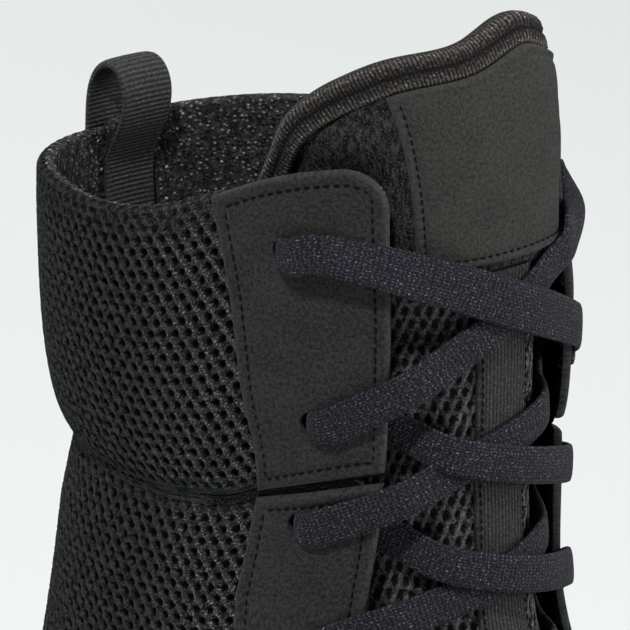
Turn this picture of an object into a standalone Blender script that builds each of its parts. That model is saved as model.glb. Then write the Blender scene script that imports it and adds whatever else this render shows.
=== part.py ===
"""Right boxing shoe with a padded ankle cuff, standing empty on its sole.

Sizes are in millimetres from the heel's back, the middle line and the floor, and MM turns them into metres.
+X points to the toe, +Y to the inner side of the foot and +Z up.

The upper is cut by a row of sections. In front of the instep they stand upright, round the ankle they fan
out from a pivot, and in the shaft they lie level. A station counts millimetres along the instep: it is
negative on the forefoot, 0 at the pivot and FAN where the sections become level. In each section a point is
found by its turn, 0 on the ridge, 1 at the widest place and 2 at the sole's edge or the back seam. A sheet on
the upper is laid out flat by station and arc, the length round the section from the ridge, negative on the
outer side.
"""

import math

import bmesh
import bpy
import numpy as np
from mathutils import Vector

MM = 0.001
GAP = 0.3
SEAT = 0.45
OUTER, INNER = -1, 1

# Last and upper
TOE_X = 286.0
HEEL_X = 1.5
TOE_CAP = 50.0
HEEL_CAP = 31.0
CROWN_CAP = 36.0
CAP_POWER = 2.2
WALL = 2.5
PIVOT_X = 146.0
PIVOT_Z = 112.0
FAN_RADIUS = 33.0
FAN = FAN_RADIUS * math.pi / 2
HALF_COLUMNS = 13

# Place of the frame's origin, under the middle of the shoe
ORIGIN_X = 143.5
ORIGIN_Y = 1.8

# Pinch seam between cuff and quarter
PINCH_DEEP = 3.0
PINCH_ABOVE = 3.2
PINCH_BELOW = 7.0
PINCH_AT_FRONT = 0.3

# Throat, eyestays and lace
THROAT_ROUND_X = 198.0
EYESTAY_THICK = 1.2
CUFF_CORNER = 8.0
COLLAR_MARGIN = 0.5
SLIT = 1.6
EYELET_RADIUS = 2.2
EYELET_SIDES = 8
PUNCH_REACH = 5.0
LACE_WIDE = 6.5
LACE_THICK = 1.5
LACE_OVER = 1.0
LACE_UNDER = -0.1
LACE_TUCK = 6.0
LACE_ROWS = 10
LACE_BAR_AHEAD = 1.6
LACE_RISE = 4.0
LACE_LEVEL = 0.45
LACE_ON_TOP = SEAT + EYESTAY_THICK + SEAT + LACE_THICK / 2
LACE_INSIDE = -(WALL + LACE_THICK / 2 + 2 * GAP)

# Tongue
TONGUE_THICK = 4.6
TONGUE_SHOULDER = 178.0
TONGUE_TOE_X = 218.0
BINDING_WIDE = 5.0
BINDING_PROUD = 0.6
BINDING_GAP = 0.9
STRIP_HALF = 6.0
STRIP_THICK = 0.8
PATCH_BOTTOM = 172.9
PATCH_HALF = 17.5
PATCH_FLARE = 4.8
PATCH_THICK = 1.0
PATCH_MARGIN = 0.9

# Pull loop
LOOP_WIDE = 11.5
LOOP_Y = 2.4
LOOP_BEND = 33.0
LOOP_THICK = 1.2

# Sole
INSOLE_THICK = 4.0
INSOLE_INSET = 5.4
GROOVE_DEEP = 1.4
GROOVE_WIDE = 3.0


def table(columns, *rows):
    """A table of sizes with named columns."""
    return np.array(list(rows), dtype=[(name, float) for name in columns.split()])


def along(x):
    """Station of the upright section this far from the heel."""
    return PIVOT_X - x


def level(z):
    """Station of the level section at this height."""
    return FAN + z - PIVOT_Z


# Foot outline at the sole's edge, before its ends are rounded
OUTLINE = table(
    "x outer inner",
    (0, 32, 32), (40, 32.5, 32), (80, 33.5, 29.5), (115, 37, 28), (150, 42, 33),
    (185, 46, 41), (205, 46.5, 44), (230, 44, 45), (255, 38, 44), (288, 30, 40),
)
MIDDLE = table("x y", (0, 0), (100, 0), (160, 0.3), (200, 1.5), (250, 5), (288, 8))
FOOT_EDGE = table("x z", (0, 9.5), (60, 9.2), (115, 9.2), (160, 7.8), (200, 7.6), (230, 9.2), (260, 13.2),
                  (288, 19))
SOLE_BOTTOM = table("x z", (-3, 2.4), (12, 0), (82, 0), (98, 1.1), (115, 1.9), (138, 1.0), (155, 0),
                    (216, 0), (240, 2.2), (265, 6.4), (290, 12.5))
RIM = table(
    "x rise outer inner",
    (0, 5, 2.3, 2.3), (50, 4.5, 2.2, 2.2), (90, 4.2, 2.2, 3.5), (125, 4.2, 2.2, 3.7), (170, 4.5, 2.1, 2.3),
    (230, 5, 1.9, 1.9), (262, 6, 1.6, 1.6), (280, 6.5, 1.0, 1.0), (288, 6.5, 0.8, 0.8),
)
# The sole's side from the tread's edge up, over the rim and down to the shelf that carries the upper
SOLE_SIDE = table(
    "out rim_out from_tread rise rim_rise",
    (0.6, 0, 1, 0, 0), (2.9, 0, 1, 2.4, 0), (3.2, 0, 0, -1.6, 0), (2.5, 0, 0, -1.0, 0), (1.4, 1, 0, 0, 1),
    (0, 1, 0, 0, 1), (1.0, 0, 0, -GAP, 0),
)
GROOVE_X = (24, 42, 60, 163, 180, 197)

# Back seam, without the pinch
BACK = table("z x", (9, 1.5), (30, 0), (60, 2.5), (90, 9), (110, 11.7), (124, 10.6), (138, 7.2), (152, 5.7),
             (170, 5.2), (195, 5.4), (220, 8))

# Ridge and widest place are measured from the pivot, half widths from the middle line
SECTIONS = table(
    "station ridge outer inner widest power heel",
    (along(288), 68, 31, 41, 92, 2.35, 2.9),
    (along(255), 66, 40, 45.5, 90.5, 2.3, 2.9),
    (along(232), 61.2, 46, 46.8, 89, 2.2, 2.9),
    (along(205), 54.4, 48.5, 46, 88.5, 2.0, 2.9),
    (along(180), 46.5, 47.6, 42.6, 86.5, 1.85, 2.9),
    (along(160), 39, 45.2, 38.6, 85, 1.76, 2.9),
    (0, 33, 43.0, 36.6, 84.5, 1.74, 2.9),
    (10, 29.9, 40.0, 35.5, 86, 1.76, 2.9),
    (20, 28.3, 37.4, 35.2, 90, 1.82, 2.9),
    (30, 28.1, 36.0, 34.4, 93.5, 1.9, 2.9),
    (40, 29.5, 35.2, 33.4, 94, 2.0, 2.5),
    (FAN, 31.4, 34.4, 32.6, 94, 2.08, 2.15),
    (level(126), 32, 34.6, 32.8, 94, 2.1, 2.05),
    (level(142), 32, 36.0, 34.4, 94, 2.1, 2),
    (level(170), 32, 36.5, 35.9, 94, 2.1, 2),
    (level(192), 32, 36.4, 36.2, 94, 2.1, 2),
    (level(204), 33.5, 36.0, 36.0, 94, 2.1, 2),
    (level(216), 39, 35.5, 35.5, 94, 2.1, 2),
)

# Heights round the shaft, by angle from the front
COLLAR = table("angle z", (0, 192), (38, 191.8), (48, 190.3), (55, 188.4), (68, 183), (76, 179.3),
               (86, 175.8), (100, 174), (122, 173.1), (150, 171.2), (180, 169.5))
SEAM = table("angle z", (0, 138), (36, 136.6), (56, 132), (61, 130.3), (68, 127.6), (75, 126), (82, 124.9),
             (98, 124.3), (119, 124.3), (180, 124))

# Half width of the throat's opening, width of the eyestay and place of its eyelets, by arc
THROAT = table(
    "station gap wide eyelet",
    (along(THROAT_ROUND_X), 12, 19, 8.5), (along(170), 15.5, 21, 9.5), (0, 20, 23, 11), (14, 23, 24, 12),
    (30, 26, 24.5, 13), (46, 27, 24.6, 13.8), (level(118), 25, 23.6, 13.8), (level(128), 23.4, 23.4, 13.6),
    (level(138), 22.5, 23.2, 12.6), (level(147), 22.2, 25.4, 12.6), (level(165), 21.8, 28.4, 16),
    (level(180), 22.1, 31.4, 18), (level(192), 22.1, 34, 19),
)
EYELET_STATIONS = (level(175.9), level(146), level(126.8), 46.5, 28, 10, -8, -26, -44)
CUFF_EYELETS = 2

# Half width of the tongue's own sheet, without the binding
TONGUE = table("station half", (along(TONGUE_TOE_X), 19), (along(190), 24), (0, 31), (30, 37), (FAN, 39),
               (level(150), 43), (level(TONGUE_SHOULDER), 46))
TONGUE_HEAD = table("up half", (0, 46), (0.23, 44.4), (0.57, 40.8), (0.85, 36), (1, 31))
TONGUE_TOP = table("side z", (-1, 199.5), (-0.63, 204), (-0.13, 206.1), (0.3, 207.2), (0.63, 205.5),
                   (1, 200))
# Rows of the sheets that run down the instep, closest where it bends
INSTEP_ROWS = (along(TONGUE_TOE_X), -60, -52, -40, -28, -17, -8, 0, 7, 14, 21, 28, 35, 42, 49, 57, 68, 82,
               100, level(TONGUE_SHOULDER))
HEAD_ROWS = 6
HEAD_START = (len(INSTEP_ROWS) - 1) / (len(INSTEP_ROWS) - 1 + HEAD_ROWS)

# Path of the pull loop's middle, in a plane along the shoe
LOOP_PATH = table("x z", (4.3, 157), (4.1, 164), (4.3, 171), (5.0, 176.6), (7.2, 180.7), (10.4, 182.2),
                  (13.4, 180.8), (14.8, 176.8), (13.2, 171), (10.0, 165), (9.6, 158), (10.3, 150))


def smooth(knots, values):
    """The cubic spline through the knots, straight at its ends."""
    knots = np.asarray(knots, float)
    values = np.asarray(values, float)
    gaps = np.diff(knots)
    slopes = np.diff(values) / gaps
    last = len(knots) - 1
    system = np.eye(last + 1)
    right = np.zeros(last + 1)
    for i in range(1, last):
        system[i, i - 1:i + 2] = gaps[i - 1], 2 * (gaps[i - 1] + gaps[i]), gaps[i]
        right[i] = 6 * (slopes[i] - slopes[i - 1])
    bends = np.linalg.solve(system, right)

    def at(place):
        place = np.clip(place, knots[0], knots[-1])
        i = np.clip(np.searchsorted(knots, place, side="right") - 1, 0, last - 1)
        step = place - knots[i]
        first = slopes[i] - gaps[i] * (2 * bends[i] + bends[i + 1]) / 6
        third = (bends[i + 1] - bends[i]) / (6 * gaps[i])
        return values[i] + step * (first + step * (bends[i] / 2 + step * third))

    return at


def columns_of(source, key):
    """A spline for each column of a table, by its key column."""
    return {name: smooth(source[key], source[name]) for name in source.dtype.names if name != key}


outline_at = columns_of(OUTLINE, "x")
middle_at = columns_of(MIDDLE, "x")["y"]
foot_edge_at = columns_of(FOOT_EDGE, "x")["z"]
rim_at = columns_of(RIM, "x")
back_at = columns_of(BACK, "z")["x"]
section_at = columns_of(SECTIONS, "station")
collar_at = columns_of(COLLAR, "angle")["z"]
seam_at = columns_of(SEAM, "angle")["z"]
throat_at = columns_of(THROAT, "station")
tongue_half_at = columns_of(TONGUE, "station")["half"]
tongue_head_at = columns_of(TONGUE_HEAD, "up")["half"]
tongue_top_at = columns_of(TONGUE_TOP, "side")["z"]


def sole_bottom_at(x):
    """Height of the sole's tread, straight between its flats."""
    return np.interp(x, SOLE_BOTTOM["x"], SOLE_BOTTOM["z"])


def ease(value):
    """0 to 1 with level ends."""
    value = np.clip(value, 0, 1)
    return value * value * (3 - 2 * value)


def cap(x, start, length):
    """1 up to start, then round down to 0 one length further on."""
    reach = np.clip((x - start) / length, 0, 1)
    return (1 - reach ** CAP_POWER) ** (1 / CAP_POWER)


def foot_half(x, side):
    """Half width of the foot outline with its round toe and heel."""
    half = np.where(side < 0, outline_at["outer"](x), outline_at["inner"](x))
    return half * cap(x, TOE_X - TOE_CAP, TOE_CAP) * cap(-x, -HEEL_X - HEEL_CAP, HEEL_CAP)


def boundary():
    """Fan angle and distance from the pivot of points along the sole's edge, round the heel and up the back."""
    x = HEEL_X + (PIVOT_X - HEEL_X) * np.linspace(1, 0, 400) ** 2
    z = np.linspace(foot_edge_at(HEEL_X), PIVOT_Z, 200)[1:]
    x, z = np.append(x, back_at(z)), np.append(foot_edge_at(x), z)
    return np.arctan2(PIVOT_X - x, PIVOT_Z - z), np.hypot(PIVOT_X - x, PIVOT_Z - z)


EDGE_ANGLES, EDGE_DISTANCES = boundary()
HEEL_ANGLE = math.atan2(PIVOT_X - HEEL_X, PIVOT_Z - float(foot_edge_at(HEEL_X)))


def place(station, distance, y):
    """The point of a section at this distance from the pivot's line."""
    angle = np.clip(station / FAN_RADIUS, 0, math.pi / 2)
    x = PIVOT_X - np.minimum(station, 0) - distance * np.sin(angle)
    z = PIVOT_Z + np.maximum(station - FAN, 0) - distance * np.cos(angle)
    return np.stack(np.broadcast_arrays(x, y, z), axis=-1)


def lower_end(station, side):
    """Distance and half width where a section meets the sole's edge or the back seam."""
    angle = np.clip(station / FAN_RADIUS, 0, math.pi / 2)
    fan_distance = np.interp(angle, EDGE_ANGLES, EDGE_DISTANCES)
    x = PIVOT_X - np.minimum(station, 0) - np.where(station > 0, fan_distance * np.sin(angle), 0)
    distance = np.where(station > 0, fan_distance, PIVOT_Z - foot_edge_at(x))
    distance = np.where(station > FAN, PIVOT_X - back_at(PIVOT_Z + station - FAN), distance)
    half = np.where(angle < HEEL_ANGLE, foot_half(np.maximum(x, HEEL_X), side), 0)
    return distance, half


def section_point(station, turn, side, inset):
    """A point of the section, moved inwards by inset."""
    x = PIVOT_X - np.minimum(station, 0)
    crown = cap(x, TOE_X - CROWN_CAP, CROWN_CAP)
    toe = cap(x, TOE_X - TOE_CAP, TOE_CAP)
    low, low_half = lower_end(station, side)
    ridge = low - (low - section_at["ridge"](station)) * np.where(station < 0, crown, 1)
    widest = low - (low - section_at["widest"](station)) * np.where(station < 0, crown, 1)
    half = np.where(side < 0, section_at["outer"](station), section_at["inner"](station)) * toe
    at_edge = np.clip(low_half / 6, 0, 1)
    ridge = ridge + inset
    half = half - inset
    low = low - inset * (1 - at_edge)
    low_half = low_half - inset * at_edge
    upper_bow = 2 / section_at["power"](station)
    flat = np.where(station > 0, np.clip(low_half / HEEL_CAP, 0, 1), 1)
    heel = section_at["heel"](station)
    low_bow = 2 / (heel * (1 - flat) + 2 * flat)
    side_bow = 2 / (heel * (1 - flat) + flat)
    up = np.clip(turn, 0, 1) * math.pi / 2
    down = np.clip(turn - 1, 0, 1) * math.pi / 2
    above = turn <= 1
    high_y = half * np.sin(up) ** upper_bow
    low_y = low_half + (half - low_half) * np.cos(down) ** side_bow
    high = ridge + (widest - ridge) * (1 - np.cos(up) ** upper_bow)
    y = np.where(above, high_y, low_y)
    distance = np.where(above, high, widest + (low - widest) * np.sin(down) ** low_bow)
    return place(station, distance, middle_at(x) + side * y)


def pinch(height, turn):
    """How far the seam draws the wall in at this height, least behind the eyestay."""
    above = height - seam_at(90 * turn)
    depth = PINCH_DEEP * np.exp(-np.where(above > 0, above / PINCH_ABOVE, -above / PINCH_BELOW))
    behind_panel = ease((turn - 0.52) / 0.2)
    return depth * (PINCH_AT_FRONT + (1 - PINCH_AT_FRONT) * behind_panel)


def upper_point(station, turn, side):
    """A point on the upper's outside."""
    values = [np.asarray(value, float) for value in (station, turn, side)]
    station, turn, side = np.broadcast_arrays(*values)
    height = section_point(station, turn, side, 0.0)[..., 2]
    return section_point(station, turn, side, pinch(height, turn))


CHART_STATIONS = np.arange(along(TOE_X) + 2, level(216), 1.0)
CHART_STEP = 0.5
CHART_ARCS = np.arange(0, 75, CHART_STEP)


def arc_chart():
    """The turn that each arc reaches, for both sides and every station."""
    turns = np.linspace(0, 1.6, 81)
    chart = []
    for side in (OUTER, INNER):
        points = section_point(CHART_STATIONS[:, None], turns[None, :], float(side), 0.0)
        steps = np.linalg.norm(np.diff(points, axis=1), axis=2)
        lengths = np.hstack([np.zeros((len(steps), 1)), np.cumsum(steps, axis=1)])
        chart.append([np.interp(CHART_ARCS, row, turns) for row in lengths])
    return np.array(chart)


CHART = arc_chart()


def turn_at(station, arc):
    """The turn that lies this arc from the ridge."""
    station, arc = np.broadcast_arrays(np.asarray(station, float), np.asarray(arc, float))
    row = np.clip(station - CHART_STATIONS[0], 0, len(CHART_STATIONS) - 1.001)
    column = np.clip(np.abs(arc) / CHART_STEP, 0, len(CHART_ARCS) - 1.001)
    i, j = row.astype(int), column.astype(int)
    row, column = row - i, column - j
    side = (arc >= 0).astype(int)
    near = CHART[side, i, j] * (1 - column) + CHART[side, i, j + 1] * column
    far = CHART[side, i + 1, j] * (1 - column) + CHART[side, i + 1, j + 1] * column
    return near * (1 - row) + far * row


def smooth_point(station, arc):
    """A point of the upper's outside without the pinch."""
    side = np.where(arc < 0, OUTER, INNER)
    return section_point(station, turn_at(station, arc), side, 0.0)


def sheet_point(station, arc, offset):
    """A point laid out by station and arc, this far outside the upper."""
    station, arc = np.broadcast_arrays(np.asarray(station, float), np.asarray(arc, float))
    across = smooth_point(station, arc + 1) - smooth_point(station, arc - 1)
    up = smooth_point(station + 1, arc) - smooth_point(station - 1, arc)
    out = np.cross(across, up)
    out = out / np.linalg.norm(out, axis=-1, keepdims=True)
    side = np.where(arc < 0, OUTER, INNER)
    on_upper = upper_point(station, turn_at(station, arc), side)
    return on_upper + out * np.broadcast_to(np.asarray(offset, float), station.shape)[..., None]


def gap_at(station):
    """Half width of the throat's opening, round at its end."""
    end = along(THROAT_ROUND_X)
    wide = throat_at["gap"](station)
    reach = np.clip((end - np.asarray(station, float)) / throat_at["gap"](end), 0, 1)
    return wide * np.sqrt(1 - reach ** 2)


def collar_height(turn, from_edge):
    """Height of the collar, with a round corner at the throat's edge."""
    reach = 1 - np.clip(np.asarray(from_edge, float) / CUFF_CORNER, 0, 1)
    return collar_at(90 * turn) - CUFF_CORNER * (1 - np.sqrt(1 - reach ** 2))


def fan_station(x, z):
    """Station of the fan's section through a place in the middle plane."""
    return FAN_RADIUS * math.atan2(PIVOT_X - x, PIVOT_Z - z)


def collection(name):
    """A new collection in the scene."""
    made = bpy.data.collections.new(name)
    bpy.context.scene.collection.children.link(made)
    return made


def clear_scene():
    """Removes what the scene starts with."""
    for thing in list(bpy.data.objects):
        bpy.data.objects.remove(thing, do_unlink=True)


def finish(name, color, roughness):
    """A material of one colour."""
    material = bpy.data.materials.new(name)
    material.use_nodes = True
    shader = material.node_tree.nodes["Principled BSDF"]
    shader.inputs["Base Color"].default_value = (*color, 1)
    shader.inputs["Roughness"].default_value = roughness
    shader.inputs["Metallic"].default_value = 0.0
    return material


def in_frame(points):
    """Sizes from the heel turned into metres in the shoe's frame."""
    return (points - np.array([ORIGIN_X, ORIGIN_Y, 0])) * MM


def add_object(name, solid, group, material=None):
    """An object from a bmesh, shaded smooth."""
    mesh = bpy.data.meshes.new(name)
    solid.to_mesh(mesh)
    solid.free()
    mesh.shade_smooth()
    mesh.set_sharp_from_angle(angle=math.radians(40))
    made = bpy.data.objects.new(name, mesh)
    group.objects.link(made)
    if material is None:
        made.hide_render = True
        made.display_type = "WIRE"
    else:
        mesh.materials.append(material)
    return made


def mapped_grid(across, up, point):
    """A grid whose corners lie at point(across, up), both running from 0 to 1."""
    solid = bmesh.new()
    bmesh.ops.create_grid(solid, x_segments=across, y_segments=up, size=0.5)
    corners = np.array([corner.co[:2] for corner in solid.verts]) + 0.5
    for corner, place_now in zip(solid.verts, in_frame(point(corners[:, 0], corners[:, 1]))):
        corner.co = place_now
    return solid


def thicken(made, thickness, offset):
    """Turns a sheet into a solid: offset 1 grows outwards, -1 inwards and 0 both ways."""
    shell = made.modifiers.new("thickness", "SOLIDIFY")
    shell.thickness = thickness * MM
    shell.offset = offset
    return made


def combine(made, other, operation):
    """Cuts the other object from this one, or joins it on."""
    boolean = made.modifiers.new(other.name, "BOOLEAN")
    boolean.operation = operation
    boolean.object = other


def upper_rows():
    """For each row of the upper, from toe to collar, a function from turn and edge distance to station."""
    ends = [along(TOE_X - TOE_CAP * (1 - math.sin(math.radians(a)))) for a in (90, 80, 68, 55, 40, 22, 0)]
    vamp = [along(x) for x in (222, 209, 208, 205, THROAT_ROUND_X, 186, 173, 160, PIVOT_X)]
    heel_turns = (65, 42, 20, 0)
    heel = [HEEL_X + HEEL_CAP * (1 - math.cos(math.radians(a))) for a in heel_turns]
    quarter = [fan_station(x, float(foot_edge_at(x))) for x in (122, 98, 75, 53, 35, *heel)]
    back = [fan_station(float(back_at(z)), z) for z in (24, 42, 62, 82, 99, PIVOT_Z)]
    rows = [lambda turn, edge, s=s: s + 0 * turn for s in ends + vamp + quarter + back]

    def below_seam(turn, edge, up):
        return level(PIVOT_Z + up * (seam_at(90 * turn) - PIVOT_Z))

    def cuff(turn, edge, up):
        seam = seam_at(90 * turn)
        return level(seam + up * (collar_height(turn, edge) - seam))

    rows += [lambda turn, edge, up=up: below_seam(turn, edge, up) for up in (0.5, 0.82, 1)]
    rows += [lambda turn, edge, up=up: cuff(turn, edge, up) for up in (0.05, 0.15, 0.38, 0.65, 0.86, 1)]
    return rows


def upper_half(side):
    """The grid of one side of the upper, from its lower edge and back seam to the throat."""
    rows = upper_rows()
    front_turn = 0.35

    def point(across, up):
        away = across if side == INNER else 1 - across
        points = np.empty((len(across), 3))
        number = np.rint(up * (len(rows) - 1)).astype(int)
        for i, station_of in enumerate(rows):
            these = number == i
            front = float(station_of(np.array(front_turn), np.array(CUFF_CORNER)))
            edge_turn = float(turn_at(front, side * float(gap_at(front))))
            turn = edge_turn + (2 - edge_turn) * away[these]
            edge = (turn - edge_turn) * math.pi / 2 * section_at["outer"](front)
            station = station_of(turn, edge)
            points[these] = upper_point(station, turn, side)
        return points

    return mapped_grid(HALF_COLUMNS, len(rows) - 1, point)


def make_upper(group, material):
    """The hollow upper, its two sides joined along the toe's ridge and the back seam."""
    solid = upper_half(OUTER)
    other = upper_half(INNER)
    spare = bpy.data.meshes.new("spare")
    other.to_mesh(spare)
    other.free()
    solid.from_mesh(spare)
    bpy.data.meshes.remove(spare)
    bmesh.ops.remove_doubles(solid, verts=solid.verts, dist=0.02 * MM)
    return thicken(add_object("upper", solid, group, material), WALL, -1)


def foot_loop():
    """Places round the foot outline from the heel's back along the outer side to the toe and back."""
    heel = [HEEL_X + HEEL_CAP * (1 - math.cos(math.radians(a))) for a in (0, 16, 32, 48, 64, 80)]
    toe = [TOE_X - TOE_CAP * (1 - math.sin(math.radians(a))) for a in (0, 22, 40, 55, 68, 80, 90)]
    x = np.array(heel + [46, 64, 82, 98, 115, 138, 155, 175, 196, 216] + toe)
    outer = np.stack([x, middle_at(x) - foot_half(x, OUTER)], axis=1)
    inner = np.stack([x, middle_at(x) + foot_half(x, INNER)], axis=1)
    return np.concatenate([outer, inner[-2:0:-1]]), len(x)


def outwards(loop):
    """Unit directions out of a loop that runs along the outer side first."""
    along_loop = np.roll(loop, -1, axis=0) - np.roll(loop, 1, axis=0)
    out = np.stack([along_loop[:, 1], -along_loop[:, 0]], axis=1)
    return out / np.linalg.norm(out, axis=1)[:, None]


def stacked(name, loops, length, group, material):
    """A solid through loops round the foot, closed across the first and the last."""
    solid = bmesh.new()
    rings = [[solid.verts.new(corner) for corner in in_frame(loop)] for loop in loops]
    count = len(rings[0])
    for low, high in zip(rings, rings[1:]):
        for i in range(count):
            after = (i + 1) % count
            solid.faces.new((low[i], low[after], high[after], high[i]))
    for ring in (rings[0], rings[-1]):
        for i in range(length - 1):
            corners = [ring[i], ring[i + 1], ring[(count - i - 1) % count], ring[-i % count]]
            solid.faces.new(list(dict.fromkeys(corners)))
    bmesh.ops.recalc_face_normals(solid, faces=solid.faces)
    return add_object(name, solid, group, material)


def make_outsole(group, cutters, material):
    """The rubber sole, with a rim that holds the upper and grooves across its tread."""
    loop, length = foot_loop()
    out = outwards(loop)
    x = loop[:, 0]
    rim_out = np.where(np.arange(len(loop)) < length, rim_at["outer"](x), rim_at["inner"](x))
    rings = []
    for row in SOLE_SIDE:
        flat = loop + out * (row["out"] + row["rim_out"] * rim_out)[:, None]
        base = sole_bottom_at(flat[:, 0]) if row["from_tread"] else foot_edge_at(x)
        height = base + row["rise"] + row["rim_rise"] * rim_at["rise"](x)
        rings.append(np.column_stack([flat, height]))
    sole = stacked("outsole", rings, length, group, material)
    grooves = bmesh.new()
    for groove_x in GROOVE_X:
        made = bmesh.ops.create_cube(grooves, size=1)
        size = np.array([GROOVE_WIDE, 120, 2 * GROOVE_DEEP])
        for corner in made["verts"]:
            corner.co = in_frame(np.array(corner.co) * size + np.array([groove_x, 0, 0]))
    combine(sole, add_object("sole_grooves", grooves, cutters), "DIFFERENCE")
    return sole


def make_insole(group, material):
    """The foam sock that lies on the sole inside the upper."""
    loop, length = foot_loop()
    flat = loop - outwards(loop) * INSOLE_INSET
    rings = [np.column_stack([flat, foot_edge_at(loop[:, 0]) + rise]) for rise in (0.0, INSOLE_THICK)]
    return stacked("insole", rings, length, group, material)


def eyelets(count_from, count_to):
    """Station and signed arc of each eyelet from one row up to another, both sides."""
    found = []
    for station in EYELET_STATIONS[count_from:count_to]:
        arc = float(gap_at(station) + throat_at["eyelet"](station))
        found += [(station, OUTER * arc), (station, INNER * arc)]
    return found


def eyelet_cutter(name, places, cutters):
    """Punches through the eyestay and the wall under it, square to them."""
    punches = bmesh.new()
    for station, arc in places:
        top = Vector(in_frame(sheet_point(station, arc, PUNCH_REACH)))
        foot = Vector(in_frame(sheet_point(station, arc, -PUNCH_REACH)))
        made = bmesh.ops.create_cone(
            punches, cap_ends=True, segments=EYELET_SIDES, radius1=EYELET_RADIUS * MM,
            radius2=EYELET_RADIUS * MM, depth=(top - foot).length,
        )
        turn = (top - foot).to_track_quat("Z", "Y")
        for corner in made["verts"]:
            corner.co = turn @ corner.co + (top + foot) / 2
    return add_object(name, punches, cutters)


def make_cuff_eyestay(name, side, group, material):
    """The panel on the cuff, from the pinch seam to the collar."""
    middle = level(160)

    def point(across, up):
        back = across if side == INNER else 1 - across
        rough = turn_at(middle, side * (gap_at(middle) + back * throat_at["wide"](middle)))
        foot = seam_at(90 * rough) + SLIT / 2
        top = collar_height(rough, back * throat_at["wide"](level(185))) - COLLAR_MARGIN
        station = level(foot + up ** 1.6 * (top - foot))
        arc = gap_at(station) + back * throat_at["wide"](station)
        return sheet_point(station, side * arc, SEAT)

    solid = mapped_grid(6, 9, point)
    return thicken(add_object(name, solid, group, material), EYESTAY_THICK, 1)


def make_lower_eyestay(group, material):
    """The panel from the pinch seam down one side of the throat, round its end and up the other."""
    end = along(THROAT_ROUND_X)
    side_rows = 14
    round_rows = 8
    rows = 2 * side_rows + round_rows
    near_top = level(130)

    def side_place(from_top, back):
        rough = turn_at(near_top, gap_at(near_top) + back * throat_at["wide"](near_top))
        top = level(float(seam_at(90 * rough)) - SLIT / 2)
        station = top + from_top * (end - top)
        return station, throat_at["gap"](station) + back * throat_at["wide"](station)

    def round_place(swing, back):
        reach = throat_at["gap"](end) + back * throat_at["wide"](end)
        return end - reach * math.sin(swing), reach * math.cos(swing)

    def point(across, up):
        points = np.empty((len(up), 3))
        for i, (row, back) in enumerate(zip(up * rows, across)):
            side = OUTER if row < rows / 2 else INNER
            from_top = min(row, rows - row)
            if from_top <= side_rows:
                station, arc = side_place(from_top / side_rows, back)
            else:
                station, arc = round_place(math.pi * (from_top - side_rows) / round_rows, back)
            points[i] = sheet_point(station, side * arc, SEAT)
        return points

    solid = mapped_grid(3, rows, point)
    return thicken(add_object("eyestay_lower", solid, group, material), EYESTAY_THICK, 1)


def tongue_inset(station, arc):
    """How deep the tongue's front lies: just under the wall, deeper where the lace runs between them."""
    room = LACE_THICK + 3 * GAP
    under = ease((np.abs(arc) / np.maximum(gap_at(station), 6) - 0.35) / 0.5)
    under = under * ease((station - along(206)) / 12) * ease((level(196) - station) / 10)
    toe_end = ease((along(200) - station) / 10)
    return WALL + GAP + room * under + 2 * GAP * toe_end


def tongue_place(across, up):
    """Station and arc of a place on the tongue, across and up from 0 to 1, the head above HEAD_START."""
    side = 2 * across - 1
    body = np.interp(up / HEAD_START, np.linspace(0, 1, len(INSTEP_ROWS)), INSTEP_ROWS)
    head = np.clip((up - HEAD_START) / (1 - HEAD_START), 0, 1)
    head_z = TONGUE_SHOULDER + head * (tongue_top_at(side) - TONGUE_SHOULDER)
    station = np.where(head > 0, level(head_z), body)
    half = np.where(head > 0, tongue_head_at(head), tongue_half_at(body))
    return station, side * half


def make_tongue(group, material):
    """The padded tongue, from inside the vamp to above the collar."""

    def point(across, up):
        station, arc = tongue_place(across, up)
        return sheet_point(station, arc, -tongue_inset(station, arc))

    solid = mapped_grid(10, len(INSTEP_ROWS) - 1 + HEAD_ROWS, point)
    return thicken(add_object("tongue", solid, group, material), TONGUE_THICK, -1)


def make_tongue_binding(group, material):
    """The tape round the tongue's head, from one shoulder over the top to the other."""
    top_steps = 10
    rise = np.linspace(HEAD_START, 1, HEAD_ROWS + 1)
    across = np.linspace(0, 1, top_steps + 1)
    edge_across = np.concatenate([np.zeros(HEAD_ROWS), across, np.ones(HEAD_ROWS)])
    edge_up = np.concatenate([rise[:-1], np.ones(top_steps + 1), rise[-2::-1]])
    edge = np.stack(tongue_place(edge_across, edge_up), axis=1)
    along_edge = np.gradient(edge, axis=0)
    out = np.stack([along_edge[:, 1], -along_edge[:, 0]], axis=1)
    out = out / np.linalg.norm(out, axis=1)[:, None]

    def point(across_tape, up):
        number = np.rint(up * (len(edge) - 1)).astype(int)
        reach = BINDING_GAP + (1 - across_tape) * BINDING_WIDE
        flat = edge[number] + out[number] * reach[:, None]
        inset = tongue_inset(flat[:, 0], flat[:, 1])
        return sheet_point(flat[:, 0], flat[:, 1], BINDING_PROUD - inset)

    solid = mapped_grid(1, len(edge) - 1, point)
    made = add_object("tongue_binding", solid, group, material)
    return thicken(made, TONGUE_THICK + 2 * BINDING_PROUD, -1)


def make_tongue_patch(group, material):
    """The patch on the tongue's head."""

    def point(across, up):
        side = 2 * across - 1
        arc = side * (PATCH_HALF + PATCH_FLARE * up ** 1.8)
        top = tongue_top_at(arc / TONGUE_HEAD["half"][-1]) - PATCH_MARGIN
        station = level(PATCH_BOTTOM + up * (top - PATCH_BOTTOM))
        return sheet_point(station, arc, SEAT - tongue_inset(station, arc))

    solid = mapped_grid(8, 6, point)
    return thicken(add_object("tongue_patch", solid, group, material), PATCH_THICK, 1)


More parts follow.
